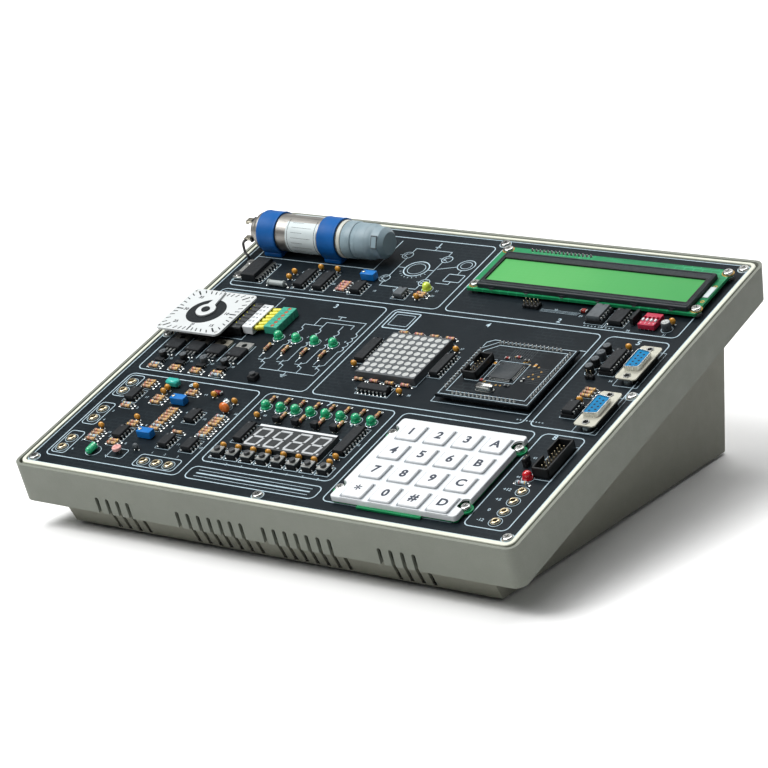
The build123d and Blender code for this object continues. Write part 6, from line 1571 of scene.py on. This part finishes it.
for k, dx in enumerate((-14, 14)):
    world_tube([(IN_X + dx, IY - 29.2, IN_Z - 4), (IN_X + dx, IY - 38, IN_Z - 3), (TR[0] + dx * 0.5, TR[1] + 30, FLOOR + 26 + k), (TR[0] + dx * 0.5, TR[1] + 20.4, FLOOR + 26 + k)], 1.1, ("wire_black", "wire_red")[k])
for k in range(3):
    world_tube([(TR[0] + 2 + k * 5, TR[1] - 20.2, FLOOR + 32 - k * 5), (TR[0] + 2 + k * 5, TR[1] - 26, FLOOR + 33 - k * 5), (PS[0] - 62, PS[1] - 18 + k * 5, T0 + 20 - k * 2),
                (PS[0] - 48, PS[1] - 16 + k * 5, T0 + 17), (PS[0] - 48, PS[1] - 16 + k * 5, T0 + 9.05)], 0.9, "wire_yellow")
ubY, ubZ = 20 * C15 + 1.65 * S15, 20 * S15 - 1.65 * C15 + ZC
uaY, uaZ = 20 * C15 + 14.0 * S15, 20 * S15 - 14.0 * C15 + ZC
for k in range(4):
    x = PS[0] + 38 + k * 3.4
    world_tube([(x, PS[1] - 14, T0 + 9.2), (x, PS[1] - 15, T0 + 20), (x, uaY, uaZ), (x, ubY, ubZ)], 0.8, ("wire_red", "wire_black", "wire_yellow", "wire_red")[k])
G.obj("lead_set", "case", slot="wire_pvc", repl=("wiring",))
G = Geo()
cx, cy = TR
G.prism(rr_pts(cx - 17.3, cx + 17.3, cy - 19.8, cy + 19.8, 4.0, 6), FLOOR + 10.6, FLOOR + 38.4, "coil_tape", 0.4)
for s in (-1, 1):
    G.prism(rr_pts(cx - 17.5, cx + 17.5, cy - 20.0, cy + 20.0, 4.0, 6), FLOOR + (10.5 if s < 0 else 37.0), FLOOR + (12.0 if s < 0 else 38.5), "white_plastic", 0.2)
    G.box(cx + s * 30, cx + s * 37.5, cy - 11.5, cy + 11.5, FLOOR, FLOOR + 1.7, "tab_steel", 0.2)
G.obj("transformer_coil", "case", M=WM, slot="transformer_iron")
G = Geo()
for k, (dx, dy, r, h) in enumerate(((-38, 20, 8, 18), (-18, 20, 8, 18), (4, 22, 5, 12), (18, 22, 5, 12), (32, 22, 5, 12))):
    G.lathe([(0, T0), (r, T0), (r, T0 + 1.2), (r - 0.25, T0 + 1.6), (r, T0 + 2.0), (r, T0 + h - 0.7), (r - 0.6, T0 + h), (r - 1.1, T0 + h - 0.05)], "ink_black", Matrix.Translation((PS[0] + dx, PS[1] + dy, 0)), 30)
    G.lathe([(r - 1.1, T0 + h - 0.05), (r - 1.3, T0 + h - 0.2), (0, T0 + h - 0.2)], "tin", Matrix.Translation((PS[0] + dx, PS[1] + dy, 0)), 30)
for dx in (-30, -6, 18):
    G.box(PS[0] + dx - 8, PS[0] + dx + 8, PS[1] - 14, PS[1] - 11, T0, T0 + 20, "tab_steel", 0.2)
    G.box(PS[0] + dx - 8, PS[0] + dx + 8, PS[1] - 20, PS[1] - 18.6, T0, T0 + 20, "tab_steel", 0.2)
    G.box(PS[0] + dx - 5, PS[0] + dx + 5, PS[1] - 11, PS[1] - 6.6, T0 + 3, T0 + 17, "epoxy", 0.4)
    for i in (-1, 0, 1):
        G.box(PS[0] + dx + i * 2.54 - 0.4, PS[0] + dx + i * 2.54 + 0.4, PS[1] - 9.4, PS[1] - 8.8, T0, T0 + 3.1, "tin", 0.08)
G.box(PS[0] + 36, PS[0] + 50, PS[1] - 20, PS[1] - 8, T0, T0 + 9, "term_green", 0.5)
G.box(PS[0] - 52, PS[0] - 44, PS[1] - 22, PS[1] + 2, T0, T0 + 9, "term_green", 0.5)
G.obj("supply_parts", "case", M=WM, slot="board_green")

# ---- mains inlet blades, screw heads and rocker
G = Geo()
for dx, dz in ((-9.0, 3.0), (-16.0, -1.5), (-2.0, -1.5)):
    G.box(IN_X + dx - 1.05, IN_X + dx + 1.05, IY - 13.0, IY - 0.9, IN_Z + dz - 2.25, IN_Z + dz + 2.25, "tin", 0.4)
for s in (-1, 1):
    M = Matrix.Translation((IN_X + s * 24.4, IY + 2.35, IN_Z)) @ Matrix.Rotation(math.radians(-90), 4, "X")
    G.lathe([(0, -0.1), (1.9, -0.1), (1.9, 0.02), (0, 0.03)], "screw_steel", M, 20)
G.obj("inlet_blades", "case", M=WM, slot="black_plastic")
RKX, RKY, RKZ = IN_X + 13.2, IY - 2.2, IN_Z
G = Geo()
prof = [(-3.3, -4.2), (4.2, -9.5), (5.0, -9.6), (6.0, -9.4), (6.15, -8.8), (5.0, -4.0), (4.2, 0.0), (5.0, 4.0), (6.15, 8.8), (6.0, 9.4), (5.0, 9.6), (4.2, 9.5), (-3.3, 4.2)]
a7 = math.radians(-7.0)
vs = []
for sx in (-5.85, 5.85):
    for (py, pz) in prof:
        y_, z_ = py * math.cos(a7) - pz * math.sin(a7), py * math.sin(a7) + pz * math.cos(a7)
        vs.append((RKX + sx, RKY + y_, RKZ + z_))
m = len(prof)
fs = [list(range(m)), [m + i for i in range(m)][::-1]]
for i in range(m):
    j = (i + 1) % m
    fs.append([i, m + i, m + j, j])
G.add(vs, fs, "black_plastic")
G.lathe([(0, -6.85), (1.5, -6.85), (1.5, 6.85), (0, 6.85)], "black_plastic", Matrix.Translation((RKX, RKY, RKZ)) @ Matrix.Rotation(math.radians(90), 4, "Y"), 20)
M7 = Matrix.Translation((RKX, RKY, RKZ)) @ Matrix.Rotation(a7, 4, "X")
MU = M7 @ Matrix.Translation((0, 5.25, 4.9)) @ Matrix.Rotation(math.radians(-90 - 13.5), 4, "X")
G.line([(0, -1.6), (0, 1.6)], w=0.6, z=0.02, h=0.04, mat="silk_white")
k0 = len(G.v) - 8
for i in range(k0, len(G.v)):
    G.v[i] = MU @ G.v[i]
s0 = len(G.v)
G.circle(0, 0, 1.5, w=0.5, z=0.02, h=0.04, mat="silk_white")
ML = M7 @ Matrix.Translation((0, 5.25, -4.9)) @ Matrix.Rotation(math.radians(-90 + 13.5), 4, "X")
for i in range(s0, len(G.v)):
    G.v[i] = ML @ G.v[i]
G.obj("rocker_cap", "rocker", M=WM, slot="black_plastic", repl=("rocker",))

# ---- remaining printed marks: small part numbers, test points and short ticks
num = 1
for (u, v) in ((.100, .3050), (.100, .2200), (.1550, .2560), (.2080, .2293), (.2080, .1756), (.1550, .1655), (.1050, .1100), (.1520, .0940), (.3120 - .008, .2210),
               (.2560, .2160), (.2560, .1190), (.3060, .1190), (.0960, .1230), (.2090, .3000), (.2560, .2955), (.3060, .2497), (.0960, .2610),
               (.2800, .7600), (.3300, .7600), (.4560, .7670), (.4560, .7870), (.1450, .7650), (.1450, .8000), (.1880, .7680), (.2330, .7680), (.3300, .8040),
               (.8350, .7280), (.8880, .7260), (.7770, .7580), (.7200, .7700), (.9600, .7260), (.9440, .4900), (.9440, .4230), (.9380, .5420), (.8760, .6550),
               (.4420, .5850), (.6140, .5850), (.5980, .3990), (.4880, .3990), (.3650, .2600), (.5680, .1430), (.5940, .2100), (.9270, .2560), (.9270, .1890)):
    SILK.text(str(num), U(u), V(v), 2.3)
    num += 1
for u in (0.045, 0.093, 0.141, 0.189):
    SILK.text(str(num), U(u) + 4.8, V(.4108), 2.2)
    num += 1
for i, u in enumerate((0.2356, 0.276, 0.3176, 0.359)):
    SILK.text(str(i + 1), U(u) + 5.0, V(.5560), 2.4)
for i in range(8):
    SILK.text(str(i), U(.3522 + i * .0325) + 0.0, V(.2700), 2.2)
SILK.rrect(mx0 - 1.0, mx1 + 0.6, my0 - 1.0, my1 + 1.0, 0.4, w=0.35)
SILK.rrect(sx0 - 0.8, sx1 + 0.6, sy0 - 0.8, sy1 + 0.8, 0.3, w=0.35)
for k in (4, 5, 6):
    SILK.line([(U(.688) + 1, V(.7840) - k * 1.0), (U(.790) - 3 - k * 0.6, V(.7840) - k * 1.0)], w=0.16, mat="silk")
for k in range(18):
    SILK.circle(U(.800) + k * 2.2 if k < 9 else U(.885) - (k - 9) * 1.9, V(.7180 + .0085) if k < 9 else V(.3720), 0.35, n=8, w=0.25)
SILK.obj("board_print", "case", slot="panel_black")

# ---- screws get washers
G = Geo()
for x in (-152.5, 0, 152.5):
    for y in (-125, 0, 125):
        if (x, y) != (0, 0):
            G.ring(x, y, 0.0, 0.06, 2.6, 3.15, "copper_dot", 26, 0.02)
G.obj("screw_lands", "case", slot="screw_steel")

# ------------------------------------------------------------------ stage, light and camera
sc = bpy.context.scene
sc.view_settings.view_transform = "Standard"
me = bpy.data.meshes.new("floor")
S = 6.0
n = 24
vs, fs = [], []
prof = [(-S, 0.0), (1.6, 0.0)] + [(1.6 + 0.9 * math.sin(math.radians(a)), 0.9 - 0.9 * math.cos(math.radians(a))) for a in range(10, 91, 10)] + [(2.5, 5.0)]
for (yy, zz_) in prof:
    for xx in (-S, S):
        vs.append((xx, yy, zz_))
for i in range(len(prof) - 1):
    fs.append([2 * i, 2 * i + 1, 2 * i + 3, 2 * i + 2])
me.from_pydata(vs, [], fs)
floor = bpy.data.objects.new("floor", me)
sc.collection.objects.link(floor)
make("floor_pale", (0.90, 0.90, 0.895), 0.7, var=0.02, vscale=3, bump=0.02, bscale=60)
me.materials.append(MATS["floor_pale"])
for p in me.polygons:
    p.use_smooth = True


def area(name, loc, target, size, energy, col=(1, 1, 1)):
    d = bpy.data.lights.new(name, "AREA")
    d.shape = "RECTANGLE"
    d.size, d.size_y = size
    d.energy = energy
    d.color = col
    o = bpy.data.objects.new(name, d)
    o.location = loc
    o.rotation_euler = (Vector(target) - Vector(loc)).to_track_quat("-Z", "Y").to_euler()
    sc.collection.objects.link(o)
    return o


area("key", (-1.0, -1.0, 1.9), (0, 0, 0.05), (1.4, 1.4), 62)
area("top", (-0.55, 0.1, 2.1), (0, 0, 0.05), (1.8, 1.4), 24)
area("wall", (0, 1.2, 2.7), (0, 2.5, 0.5), (2.4, 1.0), 45)
area("fill", (1.4, -1.6, 1.4), (0, 0, 0.05), (1.2, 1.2), 0.3)
w = bpy.data.worlds.new("world") if bpy.context.scene.world is None else bpy.context.scene.world
sc.world = w
w.use_nodes = True
bg = w.node_tree.nodes.get("Background")
bg.inputs["Color"].default_value = (0.93, 0.95, 1.0, 1)
bg.inputs["Strength"].default_value = 0.08

cam_d = bpy.data.cameras.new("cam")
cam = bpy.data.objects.new("cam", cam_d)
sc.collection.objects.link(cam)
sc.camera = cam
Rm = Matrix(((0.813085, -0.114885, 0.570697), (0.575317, 0.30829, -0.757606), (-0.088902, 0.94433, 0.316762)))
cam.matrix_world = Matrix.Translation((0.91923, -1.22545, 0.57329)) @ Rm.to_4x4()
cam_d.lens = 140.63
cam_d.sensor_width = 36.0
cam_d.sensor_fit = "HORIZONTAL"
cam_d.clip_start, cam_d.clip_end = 0.05, 50
